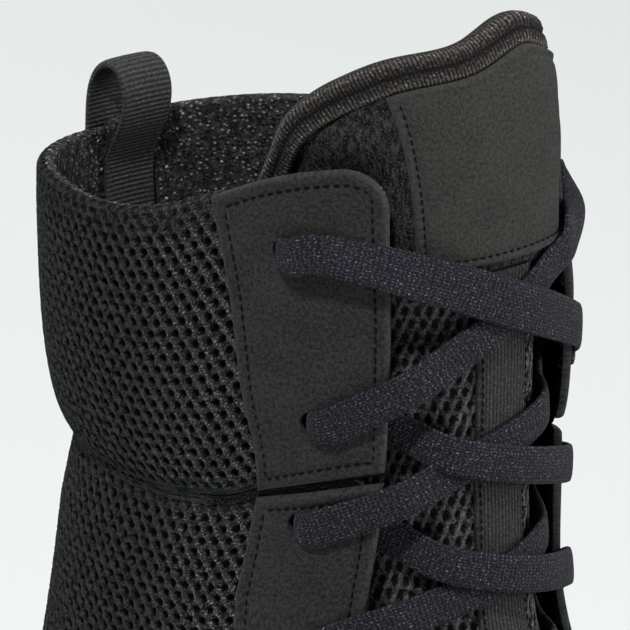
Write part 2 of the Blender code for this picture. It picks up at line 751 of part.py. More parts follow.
def make_tongue_strip(group, material):
    """The webbing down the tongue's middle."""
    rows = [row for row in INSTEP_ROWS if along(THROAT_ROUND_X) <= row < level(PATCH_BOTTOM) - 6]
    rows.append(level(PATCH_BOTTOM) - 0.6)

    def point(across, up):
        station = np.interp(up, np.linspace(0, 1, len(rows)), rows)
        arc = (2 * across - 1) * STRIP_HALF
        return sheet_point(station, arc, SEAT - tongue_inset(station, arc))

    solid = mapped_grid(2, len(rows) - 1, point)
    return thicken(add_object("tongue_strip", solid, group, material), STRIP_THICK, 1)


def make_pull_loop(group, material):
    """The webbing loop over the collar at the heel."""
    steps = np.arange(len(LOOP_PATH))
    path = np.stack([smooth(steps, LOOP_PATH["x"])(steps), smooth(steps, LOOP_PATH["z"])(steps)], axis=1)

    def point(across, up):
        number = np.rint(up * (len(path) - 1)).astype(int)
        y = LOOP_Y + (across - 0.5) * LOOP_WIDE
        return np.stack([path[number, 0] + y ** 2 / (2 * LOOP_BEND), y, path[number, 1]], axis=1)

    solid = mapped_grid(2, len(path) - 1, point)
    return thicken(add_object("pull_loop", solid, group, material), LOOP_THICK, 0)


def lace_run(name, start, end, middle, group, material):
    """A run of lace between two places given as station, arc and offset, with its middle's offset."""

    def point(across, up):
        first, last = np.array(start), np.array(end)
        way = (last - first)[:2]
        flat = first[:2] + up[:, None] * way
        sideways = np.array([way[1], -way[0]]) / np.linalg.norm(way)
        reach = np.abs(flat[:, 1]) / gap_at(flat[:, 0])
        goal = np.where(np.sign(flat[:, 1]) == np.sign(first[1]), first[2], last[2])
        offset = middle + (goal - middle) * ease((reach - LACE_LEVEL) / LACE_LEVEL)
        flat = flat + sideways * ((across - 0.5) * LACE_WIDE)[:, None]
        return sheet_point(flat[:, 0], flat[:, 1], offset)

    solid = mapped_grid(1, LACE_ROWS, point)
    return thicken(add_object(name, solid, group, material), LACE_THICK, 0)


def lace_end(row, side, on_top, rise=0.0):
    """Where a run ends: on the eyestay by its eyelet, or tucked in under the throat's edge."""
    station = EYELET_STATIONS[row]
    gap = float(gap_at(station))
    if on_top:
        arc = gap + float(throat_at["eyelet"](station)) - EYELET_RADIUS - GAP
        return (station + rise, side * arc, LACE_ON_TOP)
    return (station, side * (gap + LACE_TUCK), LACE_INSIDE)


def make_laces(group, cutters, material):
    """Each crossing, the run from the outer side on top, and the bar under the lowest eyelets."""
    for row in range(len(EYELET_STATIONS) - 1):
        top_row = row == 0
        rise = LACE_RISE if top_row else 0
        start, end = lace_end(row, OUTER, top_row), lace_end(row + 1, INNER, True, rise)
        over = lace_run(f"lace_cross_{row + 1}", start, end, LACE_OVER, group, material)
        start, end = lace_end(row, INNER, top_row), lace_end(row + 1, OUTER, True)
        under = lace_run(f"lace_run_{row + 1}", start, end, LACE_UNDER, cutters, None)
        combine(over, under, "UNION")
    bar_ends = [lace_end(len(EYELET_STATIONS) - 1, side, False) for side in (OUTER, INNER)]
    start, end = [(station - LACE_BAR_AHEAD, arc, offset) for station, arc, offset in bar_ends]
    lace_run("lace_bar", start, end, LACE_UNDER, group, material)


def main():
    """Builds the shoe, piece by piece from the sole up."""
    clear_scene()
    shoe = collection("boxing_shoe")
    cutters = collection("cutters")
    rubber = finish("sole_rubber", (0.022, 0.022, 0.024), 0.6)
    foam = finish("insole_foam", (0.03, 0.03, 0.032), 0.9)
    mesh_cloth = finish("upper_mesh", (0.02, 0.02, 0.022), 0.85)
    suede = finish("eyestay_suede", (0.03, 0.03, 0.032), 0.9)
    webbing = finish("webbing", (0.025, 0.025, 0.027), 0.7)
    cord = finish("lace_weave", (0.032, 0.03, 0.038), 0.8)

    make_outsole(shoe, cutters, rubber)
    make_insole(shoe, foam)
    upper = make_upper(shoe, mesh_cloth)
    lower = make_lower_eyestay(shoe, suede)
    cuff_outer = make_cuff_eyestay("eyestay_cuff_lateral", OUTER, shoe, suede)
    cuff_inner = make_cuff_eyestay("eyestay_cuff_medial", INNER, shoe, suede)
    cuff_holes = eyelet_cutter("cuff_eyelets", eyelets(0, CUFF_EYELETS), cutters)
    lower_holes = eyelet_cutter("lower_eyelets", eyelets(CUFF_EYELETS, len(EYELET_STATIONS)), cutters)
    for piece in (upper, cuff_outer, cuff_inner):
        combine(piece, cuff_holes, "DIFFERENCE")
    for piece in (upper, lower):
        combine(piece, lower_holes, "DIFFERENCE")
    make_tongue(shoe, mesh_cloth)
    make_tongue_binding(shoe, webbing)
    make_tongue_patch(shoe, suede)
    make_tongue_strip(shoe, webbing)
    make_pull_loop(shoe, webbing)
    make_laces(shoe, cutters, cord)


main()
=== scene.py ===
"""Looks of a black boxing shoe: mesh cloth, suede eyestays, flat lace and ribbed tapes over its solids.

Sizes are in millimetres from the heel's back, the middle line and the floor, and to_frame() turns them
into the frame's metres. A station counts along the instep: upright sections in front of the pivot, a fan
of sections round the ankle and level sections in the shaft. A turn runs round a section, 0 on the ridge,
1 at the widest place and 2 at the sole's edge or the back seam. An arc is the length round the section
from the ridge, negative on the outer side.
"""

import itertools
import logging
import math
from dataclasses import dataclass, field
from enum import Enum, IntEnum
from typing import Sequence, Union

import bmesh
import bpy
import numpy as np
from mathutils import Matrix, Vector


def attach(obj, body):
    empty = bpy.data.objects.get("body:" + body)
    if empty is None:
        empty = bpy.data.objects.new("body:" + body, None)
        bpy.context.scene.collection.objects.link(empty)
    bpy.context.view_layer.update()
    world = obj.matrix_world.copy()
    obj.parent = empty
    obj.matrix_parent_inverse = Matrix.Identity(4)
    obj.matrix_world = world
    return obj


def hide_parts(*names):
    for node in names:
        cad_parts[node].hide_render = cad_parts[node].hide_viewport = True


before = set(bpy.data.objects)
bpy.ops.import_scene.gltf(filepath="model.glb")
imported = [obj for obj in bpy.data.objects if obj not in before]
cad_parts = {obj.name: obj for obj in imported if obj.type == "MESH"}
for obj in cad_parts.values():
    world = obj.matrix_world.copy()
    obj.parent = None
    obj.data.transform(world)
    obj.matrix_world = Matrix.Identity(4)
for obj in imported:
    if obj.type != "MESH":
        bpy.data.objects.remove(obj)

log = logging.getLogger("boxing_shoe")
Array = np.ndarray
Number = Union[float, Array]
Colour = tuple[float, float, float]
Knot = tuple[float, ...]
Socket = bpy.types.NodeSocket
Input = Union[Socket, float, Sequence[float]]
Material = bpy.types.Material

MM = 0.001
ORIGIN = np.array([143.5, 1.8, 0.0])
BODY = "root"


class Side(IntEnum):
    """The two sides of the shoe, by the sign of their arcs."""

    OUTER = -1
    INNER = 1


class Slot(str, Enum):
    """The record's material slots."""

    RUBBER = "sole_rubber"
    FOAM = "insole_foam"
    MESH = "upper_mesh"
    SUEDE = "eyestay_suede"
    WEBBING = "webbing"
    LACE = "lace_weave"


def table(columns: str, *rows: Sequence[float]) -> Array:
    """A structured array of sizes, from its columns' names with spaces between and its rows."""
    return np.array(list(rows), dtype=[(name, float) for name in columns.split()])


def to_frame(points: Array) -> Array:
    """Sizes from the heel turned into metres in the shoe's frame."""
    return (points - ORIGIN) * MM


def ease(value: Number) -> Array:
    """0 to 1 with level ends."""
    value = np.clip(value, 0, 1)
    return value * value * (3 - 2 * value)


def unit(vectors: Array) -> Array:
    """Vectors of length 1, or 0 where they have no length."""
    return vectors / np.maximum(np.linalg.norm(vectors, axis=-1, keepdims=True), 1e-9)


def matched(*values: Number) -> Sequence[Array]:
    """Numbers stretched to one shape."""
    return np.broadcast_arrays(*(np.asarray(value, float) for value in values))


def pair(first: Number, second: Number) -> Array:
    """Two numbers side by side for each place."""
    return np.stack(np.broadcast_arrays(first, second), axis=-1)


def lengths_along(points: Array) -> Array:
    """The length from the first point to each point of a line."""
    return np.append(0, np.cumsum(np.linalg.norm(np.diff(points, axis=0), axis=1)))


def sampled(line: Array, run: Array, places: Array) -> Array:
    """What a line holds at these places, from the place of each of its points."""
    return np.stack([np.interp(places, run, column) for column in line.T], axis=1)


def flattened(wave: Array, power: float) -> Array:
    """A wave from -1 to 1 with broader tops."""
    return np.sign(wave) * np.abs(wave) ** power


def smoothed(padded: Array, reach: float, count: int) -> Array:
    """A padded line averaged over this many neighbours, the near ones most."""
    soft = np.exp(-np.linspace(-reach, reach, count) ** 2)
    return np.stack([np.convolve(column, soft / soft.sum(), "valid") for column in padded.T], axis=1)


def rim_of(grid: Array) -> Array:
    """What lies round a grid's border."""
    return np.concatenate([grid[0], grid[1:, -1], grid[-1, -2::-1], grid[-2:0:-1, 0]])


def link(name: str, data: bpy.types.ID) -> bpy.types.Object:
    """Puts a new object into the scene.

    Args:
        name: its name.
        data: its mesh, light or camera.

    Returns:
        The object.
    """
    made = bpy.data.objects.new(name, data)
    bpy.context.scene.collection.objects.link(made)
    return made


class Spline:
    """The cubic spline through knots, straight at its ends."""

    def __init__(self, knots: Sequence[float], values: Sequence[float]) -> None:
        """Solves the spline.

        Args:
            knots: rising places.
            values: a value at each knot.
        """
        self.knots = np.asarray(knots, float)
        self.values = np.asarray(values, float)
        self.gaps = np.diff(self.knots)
        self.slopes = np.diff(self.values) / self.gaps
        last = len(self.knots) - 1
        system = np.eye(last + 1)
        right = np.zeros(last + 1)
        for i in range(1, last):
            system[i, i - 1:i + 2] = self.gaps[i - 1], 2 * (self.gaps[i - 1] + self.gaps[i]), self.gaps[i]
            right[i] = 6 * (self.slopes[i] - self.slopes[i - 1])
        self.bends = np.linalg.solve(system, right)

    def __call__(self, place: Number) -> Array:
        """The spline's value.

        Args:
            place: where, held between the end knots.

        Returns:
            The values there.
        """
        place = np.clip(place, self.knots[0], self.knots[-1])
        i = np.clip(np.searchsorted(self.knots, place, side="right") - 1, 0, len(self.gaps) - 1)
        step = place - self.knots[i]
        first = self.slopes[i] - self.gaps[i] * (2 * self.bends[i] + self.bends[i + 1]) / 6
        third = (self.bends[i + 1] - self.bends[i]) / (6 * self.gaps[i])
        return self.values[i] + step * (first + step * (self.bends[i] / 2 + step * third))


def columns_of(source: Array) -> dict[str, Spline]:
    """A spline for each further column of a table, by its first column."""
    return {name: Spline(source[source.dtype.names[0]], source[name]) for name in source.dtype.names[1:]}


PIVOT_X = 146.0
PIVOT_Z = 112.0
FAN_RADIUS = 33.0
FAN = FAN_RADIUS * math.pi / 2
TOE_X = 286.0
HEEL_X = 1.5
THROAT_ROUND_X = 198.0


def along(x: Number) -> Number:
    """Station of the upright section this far from the heel."""
    return PIVOT_X - x


def level(z: Number) -> Number:
    """Station of the level section at this height."""
    return FAN + z - PIVOT_Z


OUTLINE = table(
    "x outer inner",
    (0, 32, 32), (40, 32.5, 32), (80, 33.5, 29.5), (115, 37, 28), (150, 42, 33),
    (185, 46, 41), (205, 46.5, 44), (230, 44, 45), (255, 38, 44), (288, 30, 40),
)
MIDDLE = table("x y", (0, 0), (100, 0), (160, 0.3), (200, 1.5), (250, 5), (288, 8))
FOOT_EDGE = table("x z", (0, 9.5), (60, 9.2), (115, 9.2), (160, 7.8), (200, 7.6), (230, 9.2), (260, 13.2),
                  (288, 19))
SOLE_BOTTOM = table("x z", (-3, 2.4), (12, 0), (82, 0), (98, 1.1), (115, 1.9), (138, 1.0), (155, 0),
                    (216, 0), (240, 2.2), (265, 6.4), (290, 12.5))
RIM = table(
    "x rise outer inner",
    (0, 5, 2.3, 2.3), (50, 4.5, 2.2, 2.2), (90, 4.2, 2.2, 3.5), (125, 4.2, 2.2, 3.7), (170, 4.5, 2.1, 2.3),
    (230, 5, 1.9, 1.9), (262, 6, 1.6, 1.6), (280, 6.5, 1.0, 1.0), (288, 6.5, 0.8, 0.8),
)
BACK = table("z x", (9, 1.5), (30, 0), (60, 2.5), (90, 9), (110, 11.7), (124, 10.6), (138, 7.2), (152, 5.7),
             (170, 5.2), (195, 5.4), (220, 8))
SECTIONS = table(
    "station ridge outer inner widest power heel",
    (along(288), 68, 31, 41, 92, 2.35, 2.9),
    (along(255), 66, 40, 45.5, 90.5, 2.3, 2.9),
    (along(232), 61.2, 46, 46.8, 89, 2.2, 2.9),
    (along(205), 54.4, 48.5, 46, 88.5, 2.0, 2.9),
    (along(180), 46.5, 47.6, 42.6, 86.5, 1.85, 2.9),
    (along(160), 39, 45.2, 38.6, 85, 1.76, 2.9),
    (0, 33, 43.0, 36.6, 84.5, 1.74, 2.9),
    (10, 29.9, 40.0, 35.5, 86, 1.76, 2.9),
    (20, 28.3, 37.4, 35.2, 90, 1.82, 2.9),
    (30, 28.1, 36.0, 34.4, 93.5, 1.9, 2.9),
    (40, 29.5, 35.2, 33.4, 94, 2.0, 2.5),
    (FAN, 31.4, 34.4, 32.6, 94, 2.08, 2.15),
    (level(126), 32, 34.6, 32.8, 94, 2.1, 2.05),
    (level(142), 32, 36.0, 34.4, 94, 2.1, 2),
    (level(170), 32, 36.5, 35.9, 94, 2.1, 2),
    (level(192), 32, 36.4, 36.2, 94, 2.1, 2),
    (level(204), 33.5, 36.0, 36.0, 94, 2.1, 2),
    (level(216), 39, 35.5, 35.5, 94, 2.1, 2),
)
COLLAR = table("angle z", (0, 192), (38, 191.8), (48, 190.3), (55, 188.4), (68, 183), (76, 179.3),
               (86, 175.8), (100, 174), (122, 173.1), (150, 171.2), (180, 169.5))
SEAM = table("angle z", (0, 138), (36, 136.6), (56, 132), (61, 130.3), (68, 127.6), (75, 126), (82, 124.9),
             (98, 124.3), (119, 124.3), (180, 124))
THROAT = table(
    "station gap wide eyelet",
    (along(THROAT_ROUND_X), 12, 19, 8.5), (along(170), 15.5, 21, 9.5), (0, 20, 23, 11), (14, 23, 24, 12),
    (30, 26, 24.5, 13), (46, 27, 24.6, 13.8), (level(118), 25, 23.6, 13.8), (level(128), 23.4, 23.4, 13.6),
    (level(138), 22.5, 23.2, 12.6), (level(147), 22.2, 25.4, 12.6), (level(165), 21.8, 28.4, 16),
    (level(180), 22.1, 31.4, 18), (level(192), 22.1, 34, 19),
)
EYELET_RADIUS = 2.3
EYELET_STATIONS = (level(175.9), level(146), level(126.8), 46.5, 28, 10, -8, -26, -44)
TONGUE_SHOULDER = 178.0
TONGUE_TOE_X = 218.0
TONGUE = table("station half", (along(TONGUE_TOE_X), 19), (along(190), 24), (0, 31), (30, 37), (FAN, 39),
               (level(150), 43), (level(TONGUE_SHOULDER), 46))
TONGUE_HEAD = table("up half", (0, 46), (0.23, 44.4), (0.57, 40.8), (0.85, 36), (1, 31))
TONGUE_TOP = table("side z", (-1, 199.5), (-0.63, 204.3), (-0.13, 206.9), (0.12, 208.9), (0.24, 209.3),
                   (0.4, 207.4), (0.6, 204), (0.8, 201), (1, 198))
LOOP_PATH = table("x z", (4.3, 157), (4.1, 164), (4.3, 171), (5.0, 176.6), (7.2, 180.7), (10.4, 182.2),
                  (13.4, 180.8), (14.8, 176.8), (13.2, 171), (10.0, 165), (9.6, 158), (10.3, 150))


@dataclass
class Last:
    """The form that the upper is drawn over, and the sheets that lie on it."""

    toe_cap: float = 50.0
    heel_cap: float = 31.0
    crown_cap: float = 36.0
    cap_power: float = 2.2
    wall: float = 2.5
    gap: float = 0.3
    pinch_deep: float = 3.0
    pinch_above: float = 3.2
    pinch_below: float = 7.0
    pinch_soft: float = 0.3
    pinch_at_front: float = 0.3
    cuff_corner: float = 8.0
    lace_room: float = 2.4
    lean_deep: float = 2.8
    lean_from: float = 160.0
    lean_over: float = 24.0
    head_from: float = 156.0
    head_puff: float = 1.2
    roll: float = 1.7
    hidden_drop: float = 1.2
    far_rise: float = 1.2
    chart_step: float = 0.5

    def __post_init__(self) -> None:
        """Works out the splines, the sole's edge and the chart of arcs."""
        self.outline = columns_of(OUTLINE)
        self.middle = columns_of(MIDDLE)["y"]
        self.foot_edge = columns_of(FOOT_EDGE)["z"]
        self.back = columns_of(BACK)["x"]
        self.section = columns_of(SECTIONS)
        self.collar = columns_of(COLLAR)["z"]
        self.seam = columns_of(SEAM)["z"]
        self.throat = columns_of(THROAT)
        self.tongue_half = columns_of(TONGUE)["half"]
        self.tongue_head = columns_of(TONGUE_HEAD)["half"]
        self.tongue_top = columns_of(TONGUE_TOP)["z"]
        x = HEEL_X + (PIVOT_X - HEEL_X) * np.linspace(1, 0, 400) ** 2
        z = np.linspace(self.foot_edge(HEEL_X), PIVOT_Z, 200)[1:]
        x, z = np.append(x, self.back(z)), np.append(self.foot_edge(x), z)
        self.edge_angles = np.arctan2(PIVOT_X - x, PIVOT_Z - z)
        self.edge_distances = np.hypot(PIVOT_X - x, PIVOT_Z - z)
        self.heel_angle = math.atan2(PIVOT_X - HEEL_X, PIVOT_Z - float(self.foot_edge(HEEL_X)))
        self.chart_stations = np.arange(along(TOE_X) + 2, level(216), 1.0)
        self.chart_arcs = np.arange(0, 200, self.chart_step)
        turns = np.linspace(0, 2, 201)
        charts, wholes = [], []
        for side in Side:
            points = self.section_point(self.chart_stations[:, None], turns[None, :], float(side), 0.0)
            steps = np.linalg.norm(np.diff(points, axis=1), axis=2)
            lengths = np.hstack([np.zeros((len(steps), 1)), np.cumsum(steps, axis=1)])
            charts.append([np.interp(self.chart_arcs, row, turns) for row in lengths])
            wholes.append(lengths[:, -1])
        self.chart = np.array(charts)
        self.wholes = dict(zip(Side, wholes))

    def cap(self, x: Number, start: float, length: float) -> Array:
        """1 up to start, then round down to 0 one length further on."""
        reach = np.clip((x - start) / length, 0, 1)
        return (1 - reach ** self.cap_power) ** (1 / self.cap_power)

    def foot_half(self, x: Number, side: Number) -> Array:
        """Half width of the foot outline with its round toe and heel.

        Args:
            x: places along the shoe.
            side: the side's sign.

        Returns:
            The half widths.
        """
        half = np.where(np.asarray(side) < 0, self.outline["outer"](x), self.outline["inner"](x))
        heel = self.cap(-np.asarray(x), -HEEL_X - self.heel_cap, self.heel_cap)
        return half * self.cap(x, TOE_X - self.toe_cap, self.toe_cap) * heel

    def lower_end(self, station: Number, side: Number) -> tuple[Array, Array]:
        """Where a section meets the sole's edge or the back seam.

        Args:
            station: the section.
            side: the side's sign.

        Returns:
            The distance from the pivot's line and the half width.
        """
        angle = np.clip(station / FAN_RADIUS, 0, math.pi / 2)
        fan_distance = np.interp(angle, self.edge_angles, self.edge_distances)
        x = PIVOT_X - np.minimum(station, 0) - np.where(station > 0, fan_distance * np.sin(angle), 0)
        distance = np.where(station > 0, fan_distance, PIVOT_Z - self.foot_edge(x))
        distance = np.where(station > FAN, PIVOT_X - self.back(PIVOT_Z + station - FAN), distance)
        half = np.where(angle < self.heel_angle, self.foot_half(np.maximum(x, HEEL_X), side), 0)
        return distance, half

    def section_point(self, station: Number, turn: Number, side: Number, inset: Number) -> Array:
        """A point of a section.

        Args:
            station: the section.
            turn: the place round it.
            side: the side's sign.
            inset: how far it is moved inwards.

        Returns:
            The points.
        """
        x = PIVOT_X - np.minimum(station, 0)
        crown = np.where(station < 0, self.cap(x, TOE_X - self.crown_cap, self.crown_cap), 1)
        toe = self.cap(x, TOE_X - self.toe_cap, self.toe_cap)
        low, low_half = self.lower_end(station, side)
        ridge = low - (low - self.section["ridge"](station)) * crown
        widest = low - (low - self.section["widest"](station)) * crown
        outer, inner = self.section["outer"](station), self.section["inner"](station)
        half = np.where(np.asarray(side) < 0, outer, inner) * toe
        at_edge = np.clip(low_half / 6, 0, 1)
        ridge = ridge + inset
        half = half - inset
        low = low - inset * (1 - at_edge)
        low_half = low_half - inset * at_edge
        upper_bow = 2 / self.section["power"](station)
        flat = np.where(station > 0, np.clip(low_half / self.heel_cap, 0, 1), 1)
        heel = self.section["heel"](station)
        low_bow = 2 / (heel * (1 - flat) + 2 * flat)
        side_bow = 2 / (heel * (1 - flat) + flat)
        up = np.clip(turn, 0, 1) * math.pi / 2
        down = np.clip(turn - 1, 0, 1) * math.pi / 2
        high_y = half * np.sin(up) ** upper_bow
        low_y = low_half + (half - low_half) * np.cos(down) ** side_bow
        high = ridge + (widest - ridge) * (1 - np.cos(up) ** upper_bow)
        y = self.middle(x) + side * np.where(turn <= 1, high_y, low_y)
        distance = np.where(turn <= 1, high, widest + (low - widest) * np.sin(down) ** low_bow)
        angle = np.clip(station / FAN_RADIUS, 0, math.pi / 2)
        z = PIVOT_Z + np.maximum(station - FAN, 0) - distance * np.cos(angle)
        return np.stack(np.broadcast_arrays(x - distance * np.sin(angle), y, z), axis=-1)

    def lean(self, height: Number, turn: Number, side: Number) -> Array:
        """How far the cuff's inner front leans in behind the tongue at a height, a turn and a side."""
        front = ease((turn - 0.24) / 0.07) * (1 - ease((turn - 0.45) / 0.4)) * (side > 0)
        return self.lean_deep * ease((height - self.lean_from) / self.lean_over) * front

    def pinch(self, height: Number, turn: Number) -> Array:
        """How far the ankle seam draws the wall in, least behind the eyestay.

        Args:
            height: heights above the floor.
            turn: the place round the section.

        Returns:
            The depths.
        """
        above = height - self.seam(90 * turn)
        fall = np.where(above > 0, above / self.pinch_above, -above / self.pinch_below)
        fall = np.hypot(fall, self.pinch_soft) - self.pinch_soft
        behind = ease((turn - 0.52) / 0.2)
        return self.pinch_deep * np.exp(-fall) * (self.pinch_at_front + (1 - self.pinch_at_front) * behind)

    def upper_point(self, station: Number, turn: Number, side: Number, inset: Number = 0.0) -> Array:
        """A point on the upper's outside, or further in.

        Args:
            station: the section.
            turn: the place round it.
            side: the side's sign.
            inset: how far inside the outside it lies.

        Returns:
            The points.
        """
        station, turn, side = matched(station, turn, side)
        height = self.section_point(station, turn, side, 0.0)[..., 2]
        drawn_in = self.pinch(height, turn) + self.lean(height, turn, side)
        return self.section_point(station, turn, side, drawn_in + inset)

    def turn_at(self, station: Number, arc: Number) -> Array:
        """The turn that lies this arc from the ridge.

        Args:
            station: the section.
            arc: the signed arc.

        Returns:
            The turns.
        """
        station, arc = matched(station, arc)
        row = np.clip(station - self.chart_stations[0], 0, len(self.chart_stations) - 1.001)
        column = np.clip(np.abs(arc) / self.chart_step, 0, len(self.chart_arcs) - 1.001)
        i, j = row.astype(int), column.astype(int)
        row, column = row - i, column - j
        side = (arc >= 0).astype(int)
        near = self.chart[side, i, j] * (1 - column) + self.chart[side, i, j + 1] * column
        far = self.chart[side, i + 1, j] * (1 - column) + self.chart[side, i + 1, j + 1] * column
        return near * (1 - row) + far * row

    def whole_arc(self, station: Number, side: Side) -> Array:
        """The arc from the ridge to the sole's edge or the back seam."""
        return np.interp(station, self.chart_stations, self.wholes[side])

    def smooth_point(self, station: Array, arc: Array) -> Array:
        """A point of the upper's outside without the pinch."""
        side = np.where(arc < 0, Side.OUTER, Side.INNER)
        return self.section_point(station, self.turn_at(station, arc), side, 0.0)

    def axes(self, station: Number, arc: Number) -> tuple[Array, Array, Array]:
        """The directions of a sheet on the upper.

        Args:
            station: the section.
            arc: the signed arc.

        Returns:
            Unit vectors across, up and out.
        """
        station, arc = matched(station, arc)
        across = unit(self.smooth_point(station, arc + 1) - self.smooth_point(station, arc - 1))
        up = unit(self.smooth_point(station + 1, arc) - self.smooth_point(station - 1, arc))
        return across, up, unit(np.cross(across, up))

    def sheet_point(self, station: Number, arc: Number, offset: Number) -> Array:
        """A point laid out by station and arc.

        Args:
            station: the section.
            arc: the signed arc.
            offset: how far outside the upper it lies.

        Returns:
            The points.
        """
        station, arc = matched(station, arc)
        out = self.axes(station, arc)[2]
        side = np.where(arc < 0, Side.OUTER, Side.INNER)
        on_upper = self.upper_point(station, self.turn_at(station, arc), side)
        return on_upper + out * np.broadcast_to(np.asarray(offset, float), station.shape)[..., None]

    def gap_at(self, station: Number) -> Array:
        """Half width of the throat's opening, round at its end.

        Args:
            station: the sections.

        Returns:
            The half widths.
        """
        end = along(THROAT_ROUND_X)
        reach = np.clip((end - np.asarray(station, float)) / self.throat["gap"](end), 0, 1)
        return self.throat["gap"](station) * np.sqrt(1 - reach ** 2)

    def collar_height(self, turn: Number, from_edge: Number) -> Array:
        """Height of the collar, with a round corner at the throat's edge."""
        reach = 1 - np.clip(np.asarray(from_edge, float) / self.cuff_corner, 0, 1)
        return self.collar(90 * turn) - self.cuff_corner * (1 - np.sqrt(1 - reach ** 2))

    def roll_start(self, turn: Array, from_edge: Array, wide: Number, inner: Number) -> Array:
        """Where the collar's roll starts: lower behind the eyestay, higher on the inner side.

        Args:
            turn: places round the section.
            from_edge: how far they are from the throat's edge.
            wide: how far the eyestay hides the collar.
            inner: 1 on the inner side and 0 on the outer.

        Returns:
            The heights.
        """
        drop = self.hidden_drop * (1 - ease((from_edge - wide) / 4))
        rise = self.far_rise * ease((turn - 0.7) / 0.4) * inner
        return self.collar_height(turn, from_edge) - self.roll - drop + rise

    def eyelet_arc(self, station: float) -> float:
        """The arc from the ridge to an eyelet."""
        return float(self.gap_at(station) + self.throat["eyelet"](station))

    def tongue_inset(self, station: Number, arc: Number) -> Array:
        """How deep the tongue's front lies, deeper where the lace runs between it and the wall.

        Args:
            station: the section.
            arc: the signed arc.

        Returns:
            The depths.
        """
        reach = np.abs(arc) / np.maximum(self.gap_at(station), 6)
        head = ease((station - level(self.head_from)) / 14)
        under = ease((reach - 0.35) / 0.5) * (1 - head) + ease((reach - 0.93) / 0.25) * head
        under = under * ease((station - along(206)) / 12) * ease((level(196) - station) / 10)
        toe_end = ease((along(200) - station) / 10)
        puff = self.head_puff * head * ease(np.asarray(arc) / 14) * (1 - ease((reach - 0.9) / 0.3))
        return self.wall + self.gap + self.lace_room * under + 2 * self.gap * toe_end - puff


LAST = Last()


@dataclass
class Piece:
    """A mesh under construction: its points in millimetres, its faces and what its finish reads."""

    name: str
    points: list[Array] = field(default_factory=list)
    faces: list[Array] = field(default_factory=list)
    layout: list[Array] = field(default_factory=list)
    values: dict[str, list[Array]] = field(default_factory=dict)
    slots: list[Array] = field(default_factory=list)
    count: int = 0

    def add_grid(self, points: Array, layout: Array, material: Union[int, Array] = 0, flip: bool = False,
                 ring: bool = False, keep: Union[Array, None] = None, caps: Sequence[Array] = (),
                 **values: Number) -> None:
        """Adds a grid of points.

        Args:
            points: rows of columns of points.
            layout: where each point lies on the flat cloth, in millimetres.
            material: the number of the finish, for all faces or for each face that is made.
            flip: whether the faces turn the other way.
            ring: whether each row closes on itself.
            keep: which faces are made, if not all.
            caps: more faces, counted from the grid's first point.
            values: numbers that the finish reads by name, for all points or for each.
        """
        rows, columns = points.shape[:2]
        wide = columns if ring else columns - 1
        i, j = np.meshgrid(np.arange(rows - 1), np.arange(wide), indexing="ij")
        here, after = i * columns + j, i * columns + (j + 1) % columns
        faces = np.stack([here, after, after + columns, here + columns], axis=-1).reshape(-1, 4)
        if keep is not None:
            faces = faces[keep.ravel()]
        if flip:
            faces = faces[:, ::-1]
        faces = np.vstack([faces, *caps])
        self.points.append(points.reshape(-1, 3))
        self.faces.append(faces + self.count)
        self.layout.append(layout.reshape(-1, 2))
        self.slots.append(np.broadcast_to(material, len(faces)))
        for name, numbers in values.items():
            self.values.setdefault(name, []).append(np.broadcast_to(numbers, (rows, columns)).ravel())
        self.count += rows * columns

    def finish(self, materials: Sequence[Material], replaces: Sequence[str] = (),
               weld: float = 0.0) -> bpy.types.Object:
        """Makes the object, which rides on the shoe.

        Args:
            materials: the finishes, in the order of their numbers.
            replaces: the solids that it stands for.
            weld: the distance within which points become one, in millimetres.

        Returns:
            The object.
        """
        mesh = bpy.data.meshes.new(self.name)
        faces = np.concatenate(self.faces)
        loops = faces.ravel()
        mesh.vertices.add(self.count)
        mesh.vertices.foreach_set("co", to_frame(np.concatenate(self.points)).astype(np.float32).ravel())
        mesh.loops.add(len(loops))
        mesh.loops.foreach_set("vertex_index", loops.astype(np.int32))
        mesh.polygons.add(len(faces))
        mesh.polygons.foreach_set("loop_start", np.arange(0, len(loops), 4, dtype=np.int32))
        mesh.polygons.foreach_set("material_index", np.concatenate(self.slots).astype(np.int32))
        mesh.update(calc_edges=True)
        flat = mesh.uv_layers.new(name="layout")
        flat.uv.foreach_set("vector", np.concatenate(self.layout)[loops].astype(np.float32).ravel())
        for name, numbers in self.values.items():
            value = mesh.attributes.new(name, "FLOAT", "POINT")
            value.data.foreach_set("value", np.concatenate(numbers).astype(np.float32))
        if weld:
            shape = bmesh.new()
            shape.from_mesh(mesh)
            bmesh.ops.remove_doubles(shape, verts=shape.verts, dist=weld * MM)
            bmesh.ops.dissolve_degenerate(shape, edges=shape.edges, dist=weld * MM / 4)
            shape.to_mesh(mesh)
            shape.free()
        mesh.validate()
        mesh.shade_smooth()
        mesh.set_sharp_from_angle(angle=math.radians(60))
        for material in materials:
            mesh.materials.append(material)
        made = link(self.name, mesh)
        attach(made, BODY)
        if replaces:
            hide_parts(*replaces)
        log.info("%s: %d triangles", self.name, 2 * len(faces))
        return made


def spaced(length: float, edge: Sequence[float], step: float) -> Array:
    """Places from 0 to length, close together at both ends.

    Args:
        length: the whole length.
        edge: rising distances from an end.
        step: about how far apart the others are.

    Returns:
        The places.
    """
    near = np.asarray(edge)
    inner = np.linspace(near[-1], length - near[-1], max(2, round((length - 2 * near[-1]) / step) + 1))
    return np.concatenate([near[:-1], inner, length - near[-2::-1]])


